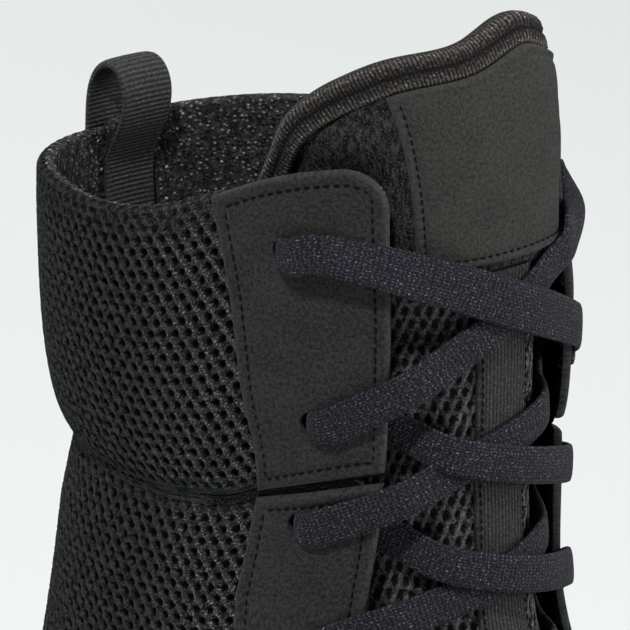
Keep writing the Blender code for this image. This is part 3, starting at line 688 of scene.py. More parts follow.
@dataclass(frozen=True)
class Lattice:
    """The knit's pattern: oval holes in staggered rows, and strands that run past them."""

    wide: float = 2.9
    high: float = 4.1
    slant: float = 0.6
    long_radius: float = 0.8
    short_radius: float = 0.62
    deep: float = 1.0
    knot: float = 0.25

    def reach(self, u: Array, v: Array) -> Array:
        """How far each place is from the nearest hole, 1 on its edge.

        Args:
            u: places across the cloth.
            v: places up the cloth.

        Returns:
            The shares of a hole's radius.
        """
        first, second = u / self.wide + v / self.high, u / self.wide - v / self.high
        first, second = first - np.round(first), second - np.round(second)
        across, up = (first + second) * self.wide / 2, (first - second) * self.high / 2
        long_way = across * math.cos(self.slant) + up * math.sin(self.slant)
        short_way = up * math.cos(self.slant) - across * math.sin(self.slant)
        return np.hypot(long_way / self.long_radius, short_way / self.short_radius)

    def relief(self, u: Array, v: Array) -> Array:
        """Height of the cloth, from minus the hole's depth up to the knots between holes."""
        reach = self.reach(u, v)
        return self.knot * ease((reach - 1.0) / 1.2) - self.deep * (1 - ease((reach - 0.45) / 0.75))


CUFF_LATTICE = Lattice()
FOOT_LATTICE = Lattice(slant=-0.6)
TONGUE_LATTICE = Lattice(wide=2.3, high=4.9, slant=1.45, long_radius=0.95, short_radius=0.6, deep=0.6,
                         knot=0.08)


class Graph:
    """A material's nodes, built from plain calls."""

    def __init__(self, name: str) -> None:
        """Starts an empty material with a Principled shader.

        Args:
            name: the material's name.
        """
        self.material = bpy.data.materials.new(name)
        self.material.use_nodes = True
        self.nodes = self.material.node_tree.nodes
        self.shader = self.nodes["Principled BSDF"]

    def join(self, source: Input, target: Socket) -> None:
        """Links a socket, or sets a plain value.

        Args:
            source: an output socket or a value.
            target: the input socket.
        """
        if isinstance(source, Socket):
            self.material.node_tree.links.new(source, target)
        else:
            target.default_value = (*source, 1.0) if target.type == "RGBA" else source

    def node(self, kind: str, output: Union[int, str], inputs: dict[Union[int, str], Input],
             **settings: str) -> Socket:
        """Adds a node.

        Args:
            kind: Blender's name for it, after ShaderNode.
            output: which of its outputs is wanted.
            inputs: a socket or a value for each input that is set.
            settings: the node's own choices.

        Returns:
            The output.
        """
        node = self.nodes.new("ShaderNode" + kind)
        for name, setting in settings.items():
            setattr(node, name, setting)
        for name, source in inputs.items():
            self.join(source, node.inputs[name])
        return node.outputs[output]

    def layout(self) -> Socket:
        """Places on the flat cloth, in millimetres."""
        return self.node("UVMap", "UV", {}, uv_map="layout")

    def place(self) -> Socket:
        """Places in the shoe's frame, in metres."""
        return self.node("TexCoord", "Object", {})

    def value(self, name: str) -> Socket:
        """A number that the mesh holds for each point."""
        return self.node("Attribute", "Fac", {}, attribute_name=name)

    def split(self, vector: Socket) -> tuple[Socket, Socket]:
        """The first two numbers of a vector."""
        first = self.node("SeparateXYZ", 0, {0: vector})
        return first, first.node.outputs[1]

    def stretch(self, vector: Socket, scale: Sequence[float]) -> Socket:
        """A vector with each of its numbers scaled."""
        return self.node("Mapping", "Vector", {"Vector": vector, "Scale": scale})

    def noise(self, vector: Socket, scale: float, detail: float = 2.0, rough: float = 0.5) -> Socket:
        """Noise from 0 to 1: this many lumps to a unit, so many finer layers, and how strong those are."""
        inputs = {"Vector": vector, "Scale": scale, "Detail": detail, "Roughness": rough}
        return self.node("TexNoise", "Fac", inputs)

    def cells(self, vector: Socket, scale: float, random: float) -> tuple[Socket, Socket]:
        """The distance from the middle of the nearest scattered cell, and that cell's colour."""
        near = self.node("TexVoronoi", "Distance", {"Vector": vector, "Scale": scale, "Randomness": random})
        return near, near.node.outputs["Color"]

    def math(self, kind: str, *numbers: Union[Socket, float]) -> Socket:
        """The result of one of Blender's operations."""
        return self.node("Math", 0, dict(enumerate(numbers)), operation=kind)

    def spread(self, value: Socket, size: float) -> Socket:
        """A number from 0 to 1 turned into one round 0, this size in all."""
        return self.math("MULTIPLY_ADD", value, size, -size / 2)

    def wrap(self, value: Socket) -> Socket:
        """A number's distance from the nearest whole number."""
        return self.math("WRAP", value, 0.5, -0.5)

    def lattice(self, flat: Socket, pattern: Lattice) -> tuple[Socket, Socket]:
        """The knit's holes, a little loose.

        Args:
            flat: places on the cloth.
            pattern: the knit.

        Returns:
            The distance from the nearest hole, 1 on its edge, and across the strands, 0.5 on one.
        """
        u, v = self.split(flat)
        u = self.math("ADD", self.math("DIVIDE", u, pattern.wide), self.spread(self.noise(flat, 0.9), 0.3))
        v = self.math("DIVIDE", v, pattern.high)
        first, second = self.wrap(self.math("ADD", u, v)), self.wrap(self.math("SUBTRACT", u, v))
        across = self.math("MULTIPLY", self.math("ADD", first, second), pattern.wide / 2)
        up = self.math("MULTIPLY", self.math("SUBTRACT", first, second), pattern.high / 2)
        cos, sin = math.cos(pattern.slant), math.sin(pattern.slant)
        squares = []
        for across_share, up_share, radius in ((cos, sin, pattern.long_radius),
                                               (-sin, cos, pattern.short_radius)):
            way = self.math("ADD", self.math("MULTIPLY", across, across_share / radius),
                            self.math("MULTIPLY", up, up_share / radius))
            squares.append(self.math("MULTIPLY", way, way))
        reach = self.math("SQRT", self.math("ADD", *squares))
        return reach, self.math("ABSOLUTE", second if pattern.slant > 0 else first)

    def wave(self, place: Socket, period: float) -> Socket:
        """A sine from -1 to 1 along a number."""
        return self.math("SINE", self.math("MULTIPLY", place, 2 * math.pi / period))

    def fit(self, value: Socket, low: float, high: float, to_low: float = 0.0,
            to_high: float = 1.0) -> Socket:
        """A number moved smoothly from one range to another, and held inside it."""
        ranges = {"Value": value, "From Min": low, "From Max": high, "To Min": to_low, "To Max": to_high}
        return self.node("MapRange", "Result", ranges, interpolation_type="SMOOTHSTEP")

    def blend(self, share: Socket, first: Union[Socket, Colour], second: Union[Socket, Colour]) -> Socket:
        """A colour between two."""
        return self.node("Mix", 2, {0: share, 6: first, 7: second}, data_type="RGBA")

    def mix(self, share: Socket, first: Socket, second: Socket) -> Socket:
        """A number between two."""
        return self.node("Mix", 0, {0: share, 2: first, 3: second})

    def bump(self, height: Socket, depth: float, strength: float, **under: Socket) -> Socket:
        """A normal bumped by a height, with its depth in millimetres, over the normal given as Normal."""
        inputs = {"Strength": strength, "Distance": depth * MM, "Height": height, **under}
        return self.node("Bump", "Normal", inputs)

    def dress(self, **inputs: Input) -> Material:
        """Sets the shader's inputs.

        Args:
            **inputs: a socket or value for each input, named with _ for a space.

        Returns:
            The material.
        """
        for name, source in inputs.items():
            self.join(source, self.shader.inputs[name.replace("_", " ").title().replace("Ior", "IOR")])
        return self.material


@dataclass(frozen=True)
class SpacerMesh:
    """Warp-knit mesh: deep holes with painted shade, fuzzy strands with painted light, yarn with painted
    glints.
    """

    name: str
    lattice: Lattice
    yarn: Colour = (0.0045, 0.0045, 0.005)
    pale_yarn: Colour = (0.064, 0.064, 0.066)
    # Colour of the painted shade in the holes.
    hole: Colour = (0.0024, 0.0025, 0.0029)
    # Colour of the painted glints on the yarn.
    glint: Colour = (0.4, 0.42, 0.47)
    streaks: Colour = (0.22, 2.0, 1.0)
    # Painted light: how much paler the strands' ridges between the holes are.
    strand_light: float = 0.09

    def material(self) -> Material:
        """Builds the finish, which reads pit, shine, streak and dark from the mesh.

        Returns:
            The material.
        """
        graph = Graph(self.name)
        flat = graph.layout()
        reach, strand = graph.lattice(flat, self.lattice)
        # Painted shade: the holes turn to the hole colour, as far as pit lets them.
        hole = graph.math("MULTIPLY", graph.fit(reach, 0.8, 1.25, 1.0, 0.0), graph.value("pit"))
        fibres = graph.noise(flat, 1.0, 4.0, 0.85)
        streaks = graph.noise(graph.stretch(flat, self.streaks), 0.8, 4.0, 0.8)
        fuzz = graph.mix(graph.value("streak"), fibres, streaks)
        # Painted light on the strands' ridges between the holes.
        ridge = graph.math("MULTIPLY", graph.fit(strand, 0.2, 0.5), graph.value("pit"))
        shade = graph.math("ADD", fuzz, graph.math("MULTIPLY", ridge, self.strand_light))
        yarn = graph.blend(graph.fit(shade, 0.41, 0.67), self.yarn, self.pale_yarn)
        # Painted glints: bright specks, most on the ridges and where the mesh asks for them.
        glint_specks = graph.fit(graph.noise(flat, 2.5, 2.0, 0.6), 0.54, 0.64)
        glint_specks = graph.math("MULTIPLY", glint_specks, graph.fit(ridge, 0.0, 1.0, 0.3, 1.0))
        yarn = graph.blend(graph.math("MULTIPLY", glint_specks, graph.value("shine")), yarn, self.glint)
        # Painted shade: dark draws the fold of the ankle seam dark on the cuff and quarter; on the tongue it
        # gives the head its darker tone.
        colour = graph.blend(graph.math("MAXIMUM", hole, graph.value("dark")), yarn, self.hole)
        normal = graph.bump(fuzz, 1.0, 1.0)
        return graph.dress(base_color=colour, roughness=0.85, normal=normal, specular_ior_level=0.05)


@dataclass(frozen=True)
class KnitLining:
    """Fine dark knit with small bright stitches."""

    name: str = "knit_lining"
    dark: Colour = (0.011, 0.011, 0.0114)
    pale: Colour = (0.063, 0.063, 0.064)
    loop: Colour = (0.28, 0.28, 0.28)
    speck: Colour = (0.7, 0.7, 0.7)

    def material(self) -> Material:
        """Builds the finish from places in the shoe.

        Returns:
            The material.
        """
        graph = Graph(self.name)
        place = graph.place()
        fuzz = graph.noise(place, 900.0, 3.0, 0.75)
        near, tint = graph.cells(place, 1200.0, 0.85)
        light, rare = graph.split(tint)
        loops = graph.fit(near, 0.15, 0.5, 1.0, 0.0)
        colour = graph.blend(graph.fit(fuzz, 0.36, 0.68), self.dark, self.pale)
        colour = graph.blend(graph.math("MULTIPLY", loops, graph.fit(light, 0.15, 1.0)), colour, self.loop)
        colour = graph.blend(graph.math("MULTIPLY", loops, graph.fit(rare, 0.93, 1.0)), colour, self.speck)
        normal = graph.bump(fuzz, 0.4, 0.8, Normal=graph.bump(loops, 0.3, 0.8))
        return graph.dress(base_color=colour, roughness=0.85, normal=normal, specular_ior_level=0.08)


@dataclass(frozen=True)
class Suede:
    """Matte nap with cut edges that catch the light."""

    name: str = "suede"
    dark: Colour = (0.011, 0.011, 0.0107)
    pale: Colour = (0.0495, 0.0495, 0.0486)
    edge: Colour = (0.058, 0.058, 0.0565)

    def material(self) -> Material:
        """Builds the finish, which reads edge from the mesh.

        Returns:
            The material.
        """
        graph = Graph(self.name)
        flat = graph.layout()
        nap = graph.noise(flat, 1.5, 4.0, 0.85)
        cloud = graph.noise(flat, 0.16, 2.0)
        shade = graph.math("MULTIPLY_ADD", cloud, 0.12, nap)
        colour = graph.blend(graph.fit(shade, 0.38, 0.74), self.dark, self.pale)
        worn = graph.math("MULTIPLY", graph.value("edge"), graph.fit(nap, 0.3, 0.7))
        colour = graph.blend(worn, colour, self.edge)
        normal = graph.bump(nap, 0.3, 0.8)
        return graph.dress(base_color=colour, roughness=0.95, normal=normal, sheen_weight=0.05,
                           sheen_roughness=0.5, specular_ior_level=0.05)


@dataclass(frozen=True)
class WovenLace:
    """Flat woven lace with a purplish cast and painted glints."""

    name: str = "woven_lace"
    ground: Colour = (0.0075, 0.0068, 0.0112)
    thread: Colour = (0.066, 0.062, 0.078)
    # Colour of the painted glints on the stitches.
    speck: Colour = (0.215, 0.208, 0.228)
    pitch: float = 0.84
    column: float = 0.55
    slope: float = 1.0

    def material(self) -> Material:
        """Builds the finish from places along and across the lace: columns of slanting stitches.

        Returns:
            The material.
        """
        graph = Graph(self.name)
        flat = graph.layout()
        run, across = graph.split(flat)
        run = graph.math("ADD", run, graph.spread(graph.noise(flat, 1.1, 2.0), 1.5))
        across = graph.math("ADD", across, graph.spread(graph.noise(flat, 0.9, 2.0), 0.8))
        zigzag = graph.math("PINGPONG", across, self.column)
        slanting = graph.math("ADD", run, graph.math("MULTIPLY", zigzag, self.slope))
        stitches = graph.fit(graph.wave(slanting, self.pitch), -0.7, 0.8)
        columns = graph.fit(graph.math("ABSOLUTE", graph.wave(across, 2 * self.column)), 0.1, 0.8)
        weave = graph.math("MULTIPLY", stitches, columns)
        fibre = graph.noise(flat, 1.3, 4.0, 0.8)
        lit = graph.fit(fibre, 0.36, 0.64, 0.2, 1.1)
        shade = graph.math("MULTIPLY", graph.fit(weave, 0.0, 1.0, 0.2, 1.0), lit)
        colour = graph.blend(shade, self.ground, self.thread)
        # Painted glints: bright spots on the stitches.
        bright = graph.fit(graph.noise(flat, 1.9, 2.0, 0.7), 0.55, 0.68)
        colour = graph.blend(graph.math("MULTIPLY", bright, graph.fit(weave, 0.3, 0.9)), colour, self.speck)
        normal = graph.bump(fibre, 0.3, 0.8, Normal=graph.bump(weave, 0.25, 0.8))
        return graph.dress(base_color=colour, roughness=0.8, normal=normal, sheen_weight=0.04,
                           sheen_roughness=0.4, specular_ior_level=0.08)


@dataclass(frozen=True)
class RibbedTape:
    """Ribbed tape: the ribs are in the mesh; the finish adds its threads, painted light and shade and painted
    glints.
    """

    name: str
    # groove and rib are the dark and pale ends of the painted shade and light along the ribs; speck is the
    # painted glints' colour.
    groove: Colour
    rib: Colour
    speck: Colour

    def material(self) -> Material:
        """Builds the finish, which reads rib from the mesh.

        Returns:
            The material.
        """
        graph = Graph(self.name)
        flat = graph.layout()
        fibre = graph.noise(flat, 1.7, 4.0, 0.8)
        shade = graph.math("MULTIPLY", graph.value("rib"), graph.fit(fibre, 0.34, 0.66, 0.3, 1.2))
        # Painted light and shade: rib makes the crests paler and the troughs darker, over the fibres' own
        # tone.
        colour = graph.blend(graph.fit(shade, 0.05, 0.95), self.groove, self.rib)
        # Painted glints: bright spots where rib is high.
        bright = graph.fit(graph.noise(flat, 2.0, 2.0, 0.6), 0.57, 0.7)
        colour = graph.blend(graph.math("MULTIPLY", bright, graph.value("rib")), colour, self.speck)
        normal = graph.bump(fibre, 0.3, 0.8)
        return graph.dress(base_color=colour, roughness=0.75, normal=normal, sheen_weight=0.03,
                           sheen_roughness=0.4, specular_ior_level=0.12)


@dataclass(frozen=True)
class SewingThread:
    """Black sewing thread."""

    name: str = "sewing_thread"
    dark: Colour = (0.0015, 0.0015, 0.0017)
    pale: Colour = (0.006, 0.006, 0.0065)

    def material(self) -> Material:
        """Builds the finish from places along and round the thread.

        Returns:
            The material.
        """
        graph = Graph(self.name)
        run, turn = graph.split(graph.layout())
        twist = graph.wave(graph.math("ADD", run, graph.math("MULTIPLY", turn, 0.4)), 0.5)
        colour = graph.blend(graph.fit(twist, -1.0, 1.0), self.dark, self.pale)
        normal = graph.bump(twist, 0.05, 0.6)
        return graph.dress(base_color=colour, roughness=0.7, normal=normal, specular_ior_level=0.1)


@dataclass(frozen=True)
class MouldedRubber:
    """Matte moulded rubber with a fine grain and paler scuffs."""

    name: str = "moulded_rubber"
    dark: Colour = (0.013, 0.013, 0.014)
    pale: Colour = (0.026, 0.026, 0.027)

    def material(self) -> Material:
        """Builds the finish from places in the shoe.

        Returns:
            The material.
        """
        graph = Graph(self.name)
        place = graph.place()
        cloud = graph.noise(place, 60.0, 4.0, 0.6)
        grain = graph.noise(place, 2200.0, 2.0)
        scuff = graph.noise(graph.stretch(place, (90.0, 90.0, 420.0)), 1.0, 3.0, 0.6)
        colour = graph.blend(graph.fit(cloud, 0.3, 0.75), self.dark, self.pale)
        worn = graph.math("ADD", cloud, graph.math("MULTIPLY", graph.fit(scuff, 0.56, 0.72), 0.2))
        rough = graph.fit(worn, 0.3, 0.9, 0.48, 0.68)
        normal = graph.bump(grain, 0.06, 0.5)
        return graph.dress(base_color=colour, roughness=rough, normal=normal, specular_ior_level=0.4)


@dataclass(frozen=True)
class FoamSock:
    """Brushed knit over a foam insole."""

    name: str = "foam_sock"
    dark: Colour = (0.012, 0.012, 0.013)
    pale: Colour = (0.034, 0.034, 0.036)

    def material(self) -> Material:
        """Builds the finish from places in the shoe.

        Returns:
            The material.
        """
        graph = Graph(self.name)
        place = graph.place()
        run, across = graph.split(place)
        knit = graph.math("MULTIPLY", graph.wave(run, 0.0016), graph.wave(across, 0.0012))
        fuzz = graph.noise(place, 1800.0, 3.0)
        shade = graph.math("ADD", graph.math("MULTIPLY", knit, 0.3), fuzz)
        colour = graph.blend(graph.fit(shade, 0.2, 0.9), self.dark, self.pale)
        normal = graph.bump(shade, 0.2, 0.6)
        return graph.dress(base_color=colour, roughness=0.9, normal=normal, sheen_weight=0.2,
                           sheen_roughness=0.5, specular_ior_level=0.2)


@dataclass
class Finishes:
    """Every finish of the shoe, made once."""

    def __post_init__(self) -> None:
        """Builds the materials."""
        self.cuff_mesh = SpacerMesh("cuff_mesh", CUFF_LATTICE).material()
        self.foot_mesh = SpacerMesh("foot_mesh", FOOT_LATTICE).material()
        # The tongue mesh's hole, glint and strand_light are its painted shade, painted glints and painted
        # light.
        self.tongue_mesh = SpacerMesh(
            "tongue_mesh", TONGUE_LATTICE, pale_yarn=(0.165, 0.165, 0.168), hole=(0.011, 0.011, 0.0115),
            glint=(0.6, 0.6, 0.6), streaks=(1.3, 0.5, 1.0), strand_light=0.08,
        ).material()
        self.lining = KnitLining().material()
        self.suede = Suede().material()
        self.patch = Suede(
            name="patch_suede", dark=(0.022, 0.0215, 0.0208), pale=(0.061, 0.0593, 0.0572),
        ).material()
        self.lace = WovenLace().material()
        # Each tape's groove, rib and speck colours are its painted shade, painted light and painted glints.
        self.binding = RibbedTape("binding_tape", (0.005, 0.0044, 0.0043), (0.115, 0.1, 0.094),
                                  (0.42, 0.4, 0.385)).material()
        self.webbing = RibbedTape("webbing", (0.013, 0.0129, 0.0127), (0.054, 0.0533, 0.052),
                                  (0.14, 0.138, 0.135)).material()
        self.loop = RibbedTape("loop_webbing", (0.022, 0.0218, 0.0214), (0.074, 0.0734, 0.072),
                               (0.16, 0.158, 0.155)).material()
        self.thread = SewingThread().material()
        self.rubber = MouldedRubber().material()
        self.foam = FoamSock().material()


@dataclass
class SubAssembly:
    """A part of the shoe, dressed in the shoe's finishes."""

    finishes: Finishes


def near_eyelet(points: Array) -> Array:
    """Which points lie within an eyelet.

    Args:
        points: the points.

    Returns:
        True for each point inside one.
    """
    inside = np.zeros(points.shape[:-1], bool)
    for station in EYELET_STATIONS:
        for side in Side:
            middle = LAST.sheet_point(station, side * LAST.eyelet_arc(station), 0.0)
            inside |= np.linalg.norm(points - middle, axis=-1) < EYELET_RADIUS
    return inside


@dataclass
class Cuff(SubAssembly):
    """The padded ankle cuff: mesh from the pinch seam up and over the soft rolled collar."""

    lattice: Lattice = CUFF_LATTICE
    splits: int = 8
    up_splits: int = 9
    nominal_height: float = 50.0
    roll_angles: tuple[float, ...] = (12, 25, 38, 52, 66, 80, 95, 110, 126, 142, 158)
    tuck: float = 0.3
    tuck_from: float = 4.0
    tuck_over: float = 18.0
    fold: float = 3.2
    fold_wide: float = 22.0
    roll_mesh_rows: int = 5
    panel_lap: float = 3.0
    shine_reach: float = 26.0
    middle_height: float = 155.0

    def build(self) -> None:
        """Makes the cuff."""
        middle = level(self.middle_height)
        whole = sum(float(LAST.whole_arc(middle, side) - LAST.gap_at(middle)) for side in Side)
        count = round(whole / self.lattice.wide) * self.splits + 1
        fraction = np.linspace(0, 1, count)
        u = np.arange(count)[None, :] * self.lattice.wide / self.splits
        cells = round(self.nominal_height / self.lattice.high)
        up = np.linspace(0, 1, cells * self.up_splits + 1)
        rows = [self._row(fraction, share, 0.0) for share in up]
        rows += [self._row(fraction, 1.0, angle) for angle in np.radians(self.roll_angles)]
        station, arc, inset = np.array(rows).transpose(1, 0, 2)
        v = np.arange(len(rows))[:, None] * (self.lattice.high / self.up_splits) + 0 * u
        u = np.broadcast_to(u, v.shape)
        to_roll = (len(up) - 1 - np.arange(len(rows)))[:, None] / self.up_splits
        from_panel = np.abs(np.abs(arc) - LAST.gap_at(station) - LAST.throat["wide"](station))
        folded = (1 - ease(v / self.fold)) * (1 - ease((from_panel - self.fold_wide) / self.fold_wide))
        calm = (0.45 + 0.55 * ease(to_roll / 1.5)) * (1 - folded)
        points = LAST.sheet_point(station, arc, self.lattice.relief(u, v) * calm - inset)
        # Painted glints on the mesh, strongest near the eyestay panel.
        shine = 0.04 + 0.62 * (1 - ease((from_panel - 6) / self.shine_reach))
        # Painted shade: a dark line along the fold at the foot of the cuff, strongest by the panel.
        dark = 0.4 * folded * (1 - ease(v / 1.2)) * (1 - ease((from_panel - 4) / 16))
        keep = ~near_eyelet((points[1:, 1:] + points[:-1, :-1]) / 2)
        lined = np.repeat(np.arange(len(rows) - 1) >= len(up) + self.roll_mesh_rows, len(fraction) - 1)
        piece = Piece("cuff_mesh")
        piece.add_grid(points, pair(u, v), material=lined[keep.ravel()].astype(int), flip=True, keep=keep,
                       pit=calm, shine=shine, streak=folded, dark=dark)
        made = piece.finish([self.finishes.cuff_mesh, self.finishes.lining], ["upper"])

    def arc_of(self, fraction: Array, station: Array) -> Array:
        """Signed arcs of shares round the cuff.

        Args:
            fraction: shares from the outer edge to the inner edge.
            station: the sections.

        Returns:
            The arcs.
        """
        gap = LAST.gap_at(station)
        outer = -(gap + (LAST.whole_arc(station, Side.OUTER) - gap) * 2 * fraction)
        inner = gap + (LAST.whole_arc(station, Side.INNER) - gap) * 2 * (1 - fraction)
        return np.where(fraction < 0.5, outer, inner)

    def _row(self, fraction: Array, share: float, angle: float) -> tuple[Array, Array, Array]:
        """A row of the cuff.

        Args:
            fraction: shares round the cuff.
            share: how far up from the seam to the roll.
            angle: how far over the roll.

        Returns:
            Stations, arcs and insets.
        """
        station = np.full_like(fraction, level(self.middle_height))
        for _ in range(3):
            arc = self.arc_of(fraction, station)
            turn = LAST.turn_at(station, arc)
            from_edge = np.abs(arc) - LAST.gap_at(station)
            wide = LAST.throat["wide"](station)
            top = LAST.roll_start(turn, from_edge, wide - self.panel_lap, arc > 0)
            foot = LAST.seam(90 * turn)
            station = level(foot + share * (top - foot) + LAST.roll * math.sin(angle))
        above = np.clip(share * (top - foot) / self.tuck, 0, 1)
        by_panel = 1 - ease((from_edge - LAST.throat["wide"](station) - self.tuck_from) / self.tuck_over)
        tucked = self.tuck * by_panel * (1 - np.sqrt(1 - (1 - above) ** 2))
        return station, self.arc_of(fraction, station), LAST.roll * (1 - math.cos(angle)) + tucked


@dataclass
class Quarter(SubAssembly):
    """One side of the foot's mesh, in upright slices from the sole's edge to the ankle seam and throat."""

    side: Side
    name: str
    lattice: Lattice = FOOT_LATTICE
    across_splits: int = 5
    up_splits: int = 7
    fold: float = 4.5
    fold_wide: float = 22.0
    heel_axis: float = 34.0
    toe_margin: float = 0.6
    toe_fade: float = 14.0
    shine_reach: float = 22.0
    ankle_end: float = 100.0
    seam_height: float = 126.0

    def build(self) -> None:
        """Makes the quarter."""
        columns = self._columns()
        slices = self._slices(columns)
        lengths = np.array([np.linalg.norm(np.diff(line, axis=0), axis=1).sum() for line in slices])
        at_ankle = columns < self.ankle_end
        rows = round(float(lengths[at_ankle].mean()) / self.lattice.high) * self.up_splits + 1
        step = self.lattice.high / self.up_splits
        whole = step * (rows - 1)
        scale = np.where(at_ankle, lengths / whole, lengths[int(at_ankle.sum()) - 1] / whole)
        climb = np.minimum(np.arange(rows)[:, None] * step * scale[None, :], lengths[None, :])
        lines = [sampled(line, lengths_along(line), climb[:, i]) for i, line in enumerate(slices)]
        points = np.stack(lines, axis=1)
        u = np.arange(len(columns))[None, :] * self.lattice.wide / self.across_splits + np.zeros((rows, 1))
        v = np.arange(rows)[:, None] * step + 0 * u
        left = lengths[None, :] - climb
        calm = ease((TOE_X - columns[None, :]) / self.toe_fade) * ease(left / 1.5)
        normal = unit(np.cross(np.gradient(points, axis=0), np.gradient(points, axis=1))) * float(self.side)
        shown = points + normal * (self.lattice.relief(u, v) * calm)[..., None]
        at_seam = level(self.seam_height)
        panel = self.side * (LAST.gap_at(at_seam) + LAST.throat["wide"](at_seam))
        to_panel = np.maximum(LAST.sheet_point(at_seam, panel, 0.0)[0] - columns[None, :], 0)
        # Painted glints on the mesh, along the lower panel's edge below the ankle seam.
        shine = 0.04 + 0.85 * (1 - ease((to_panel - 6) / self.shine_reach)) * (1 - ease((left - 26) / 24))
        folded = (1 - ease(left / self.fold)) * (1 - ease((to_panel - self.fold_wide) / self.fold_wide))
        folded = folded * at_ankle[None, :]
        keep = (climb[1:, 1:] > climb[:-1, 1:] + 1e-4) | (climb[1:, :-1] > climb[:-1, :-1] + 1e-4)
        keep &= ~near_eyelet((points[1:, 1:] + points[:-1, :-1]) / 2)
        piece = Piece(self.name)
        # dark is painted shade in the fold under the ankle seam, by the panel.
        piece.add_grid(shown, pair(u, v), flip=self.side == Side.INNER, keep=keep,
                       pit=calm * (1 - folded), shine=shine, streak=folded,
                       dark=0.75 * folded * (1 - ease((to_panel - 4) / 16)))
        piece.finish([self.finishes.foot_mesh], ["upper"], weld=0.004)

    def _columns(self) -> Array:
        """Places of the slices.

        Returns:
            x in front of the heel's axis, and behind it the length round that axis.
        """
        x = np.linspace(self.heel_axis, TOE_X - self.toe_margin, 2000)
        slope = np.gradient(LAST.foot_half(x, self.side), x)
        run = np.concatenate([[0], np.cumsum(np.hypot(1, 0.7 * slope[1:]) * np.diff(x))])
        step = self.lattice.wide / self.across_splits
        front = np.interp(np.arange(0, run[-1], step), run, x)
        round_heel = self.heel_axis * math.pi / 2
        count = round(round_heel / step)
        heel = self.heel_axis - round_heel * np.linspace(1, 0, count + 1)[:-1]
        return np.concatenate([heel, front, [TOE_X - self.toe_margin]])

    def _slices(self, columns: Array) -> list[Array]:
        """Points up each slice, from the sole's edge to the ankle seam or the throat.

        Args:
            columns: the slices' places.

        Returns:
            Points for each slice.
        """
        by_pivot = np.geomspace(0.001, 7.5, 230)[:-1]
        above = level(np.linspace(112.3, 141, 70))
        stations = np.concatenate([by_pivot, np.linspace(7.5, FAN, 150), above])
        turns = np.linspace(0, 2, 201)
        cloud = LAST.upper_point(stations[:, None], turns[None, :], float(self.side))
        behind = self.heel_axis - cloud[..., 0]
        across = np.abs(cloud[..., 1] - LAST.middle(cloud[..., 0]))
        seen = np.where(behind > 0, self.heel_axis * (1 - np.arctan2(behind, across)), cloud[..., 0])
        nowhere = {"left": np.nan, "right": np.nan}
        found = np.array([np.interp(columns, row[::-1], turns[::-1], **nowhere) for row in seen])
        points = LAST.upper_point(stations[:, None], np.nan_to_num(found), float(self.side))
        edge_turn = LAST.turn_at(stations, self.side * LAST.gap_at(stations))[:, None]
        room = np.minimum(LAST.seam(90 * np.nan_to_num(found)) - points[..., 2], (found - edge_turn) * 40)
        feet = self._feet(columns)
        slices = []
        for i, place in enumerate(columns):
            if place > PIVOT_X:
                station = along(place)
                edge = float(LAST.turn_at(station, self.side * LAST.gap_at(station)))
                slices.append(LAST.upper_point(station, np.linspace(2, edge, 70), float(self.side)))
                continue
            usable = ~np.isnan(found[:, i])
            line, spare = points[usable, i], room[usable, i]
            end = int(np.argmax(spare < 0)) if (spare < 0).any() else len(line)
            kept = line[:max(end, 1)]
            if 0 < end < len(line):
                share = spare[end - 1] / (spare[end - 1] - spare[end])
                kept = np.vstack([kept, line[end - 1] + share * (line[end] - line[end - 1])])
            slices.append(np.vstack([feet[i], kept]))
        return slices

    def _feet(self, columns: Array) -> Array:
        """Where each slice meets the sole's edge.

        Args:
            columns: the slices' places.

        Returns:
            A point for each slice.
        """
        x = HEEL_X + (self.heel_axis - HEEL_X) * np.linspace(0, 1, 400) ** 2
        turned = np.arctan2(self.heel_axis - x, LAST.foot_half(x, self.side))
        angle = (self.heel_axis - columns) / self.heel_axis
        place = np.where(columns < self.heel_axis, np.interp(angle, turned[::-1], x[::-1]), columns)
        half = np.where(angle > math.pi / 2 - 1e-6, 0, LAST.foot_half(place, self.side))
        return np.stack([place, LAST.middle(place) + self.side * half, LAST.foot_edge(place)], axis=1)


@dataclass
class Lining(SubAssembly):
    """The knit lining, from under the collar's roll down to the insole."""

    overlap: float = 1.0
    panel_wide: float = 28.0
    shaft_start: float = 118.0
    shaft_rows: int = 24
    fan_rows: int = 60
    vamp_rows: int = 50
    columns: int = 70

    def build(self) -> None:
        """Makes the lining."""
        vamp = along(np.linspace(TOE_X - 1.5, PIVOT_X, self.vamp_rows))
        shaft = level(self.shaft_start)
        fan = FAN * (1 - np.linspace(1, 0, self.fan_rows)[:-1] ** 1.5)
        fixed = np.concatenate([vamp, fan[fan > 0.2], [FAN, shaft]])
        piece = Piece("upper_lining")
        for side in Side:
            rows = [self._row(side, float(station), 0.0) for station in fixed]
            rows += [self._row(side, shaft, up) for up in np.linspace(0, 1, self.shaft_rows)[1:]]
            points = np.array(rows)
            piece.add_grid(points, points[..., [0, 2]], flip=side == Side.INNER)
        piece.finish([self.finishes.lining], ["upper"], weld=0.01)

    def _row(self, side: Side, station: float, up: float) -> Array:
        """A row of the lining, from the throat's edge to the sole's edge or the back seam.

        Args:
            side: the side of the shoe.
            station: the row's station, or the shaft's start.
            up: how far from the shaft's start to the collar.

        Returns:
            The row's points.
        """
        edge = float(LAST.turn_at(station, side * float(LAST.gap_at(station))))
        turn = edge + (2 - edge) * np.linspace(0, 1, self.columns)
        stations = np.full_like(turn, station)
        if up > 0:
            from_edge = (turn - edge) * math.pi / 2 * LAST.section["outer"](station)
            inner = float(side == Side.INNER)
            top = LAST.roll_start(turn, from_edge, self.panel_wide, inner) + self.overlap
            stations = level(self.shaft_start + up * (top - self.shaft_start))
        inset = LAST.wall + (2 * LAST.roll - 0.1 - LAST.wall) * ease((up - 0.6) / 0.4)
        return LAST.upper_point(stations, turn, float(side), inset)


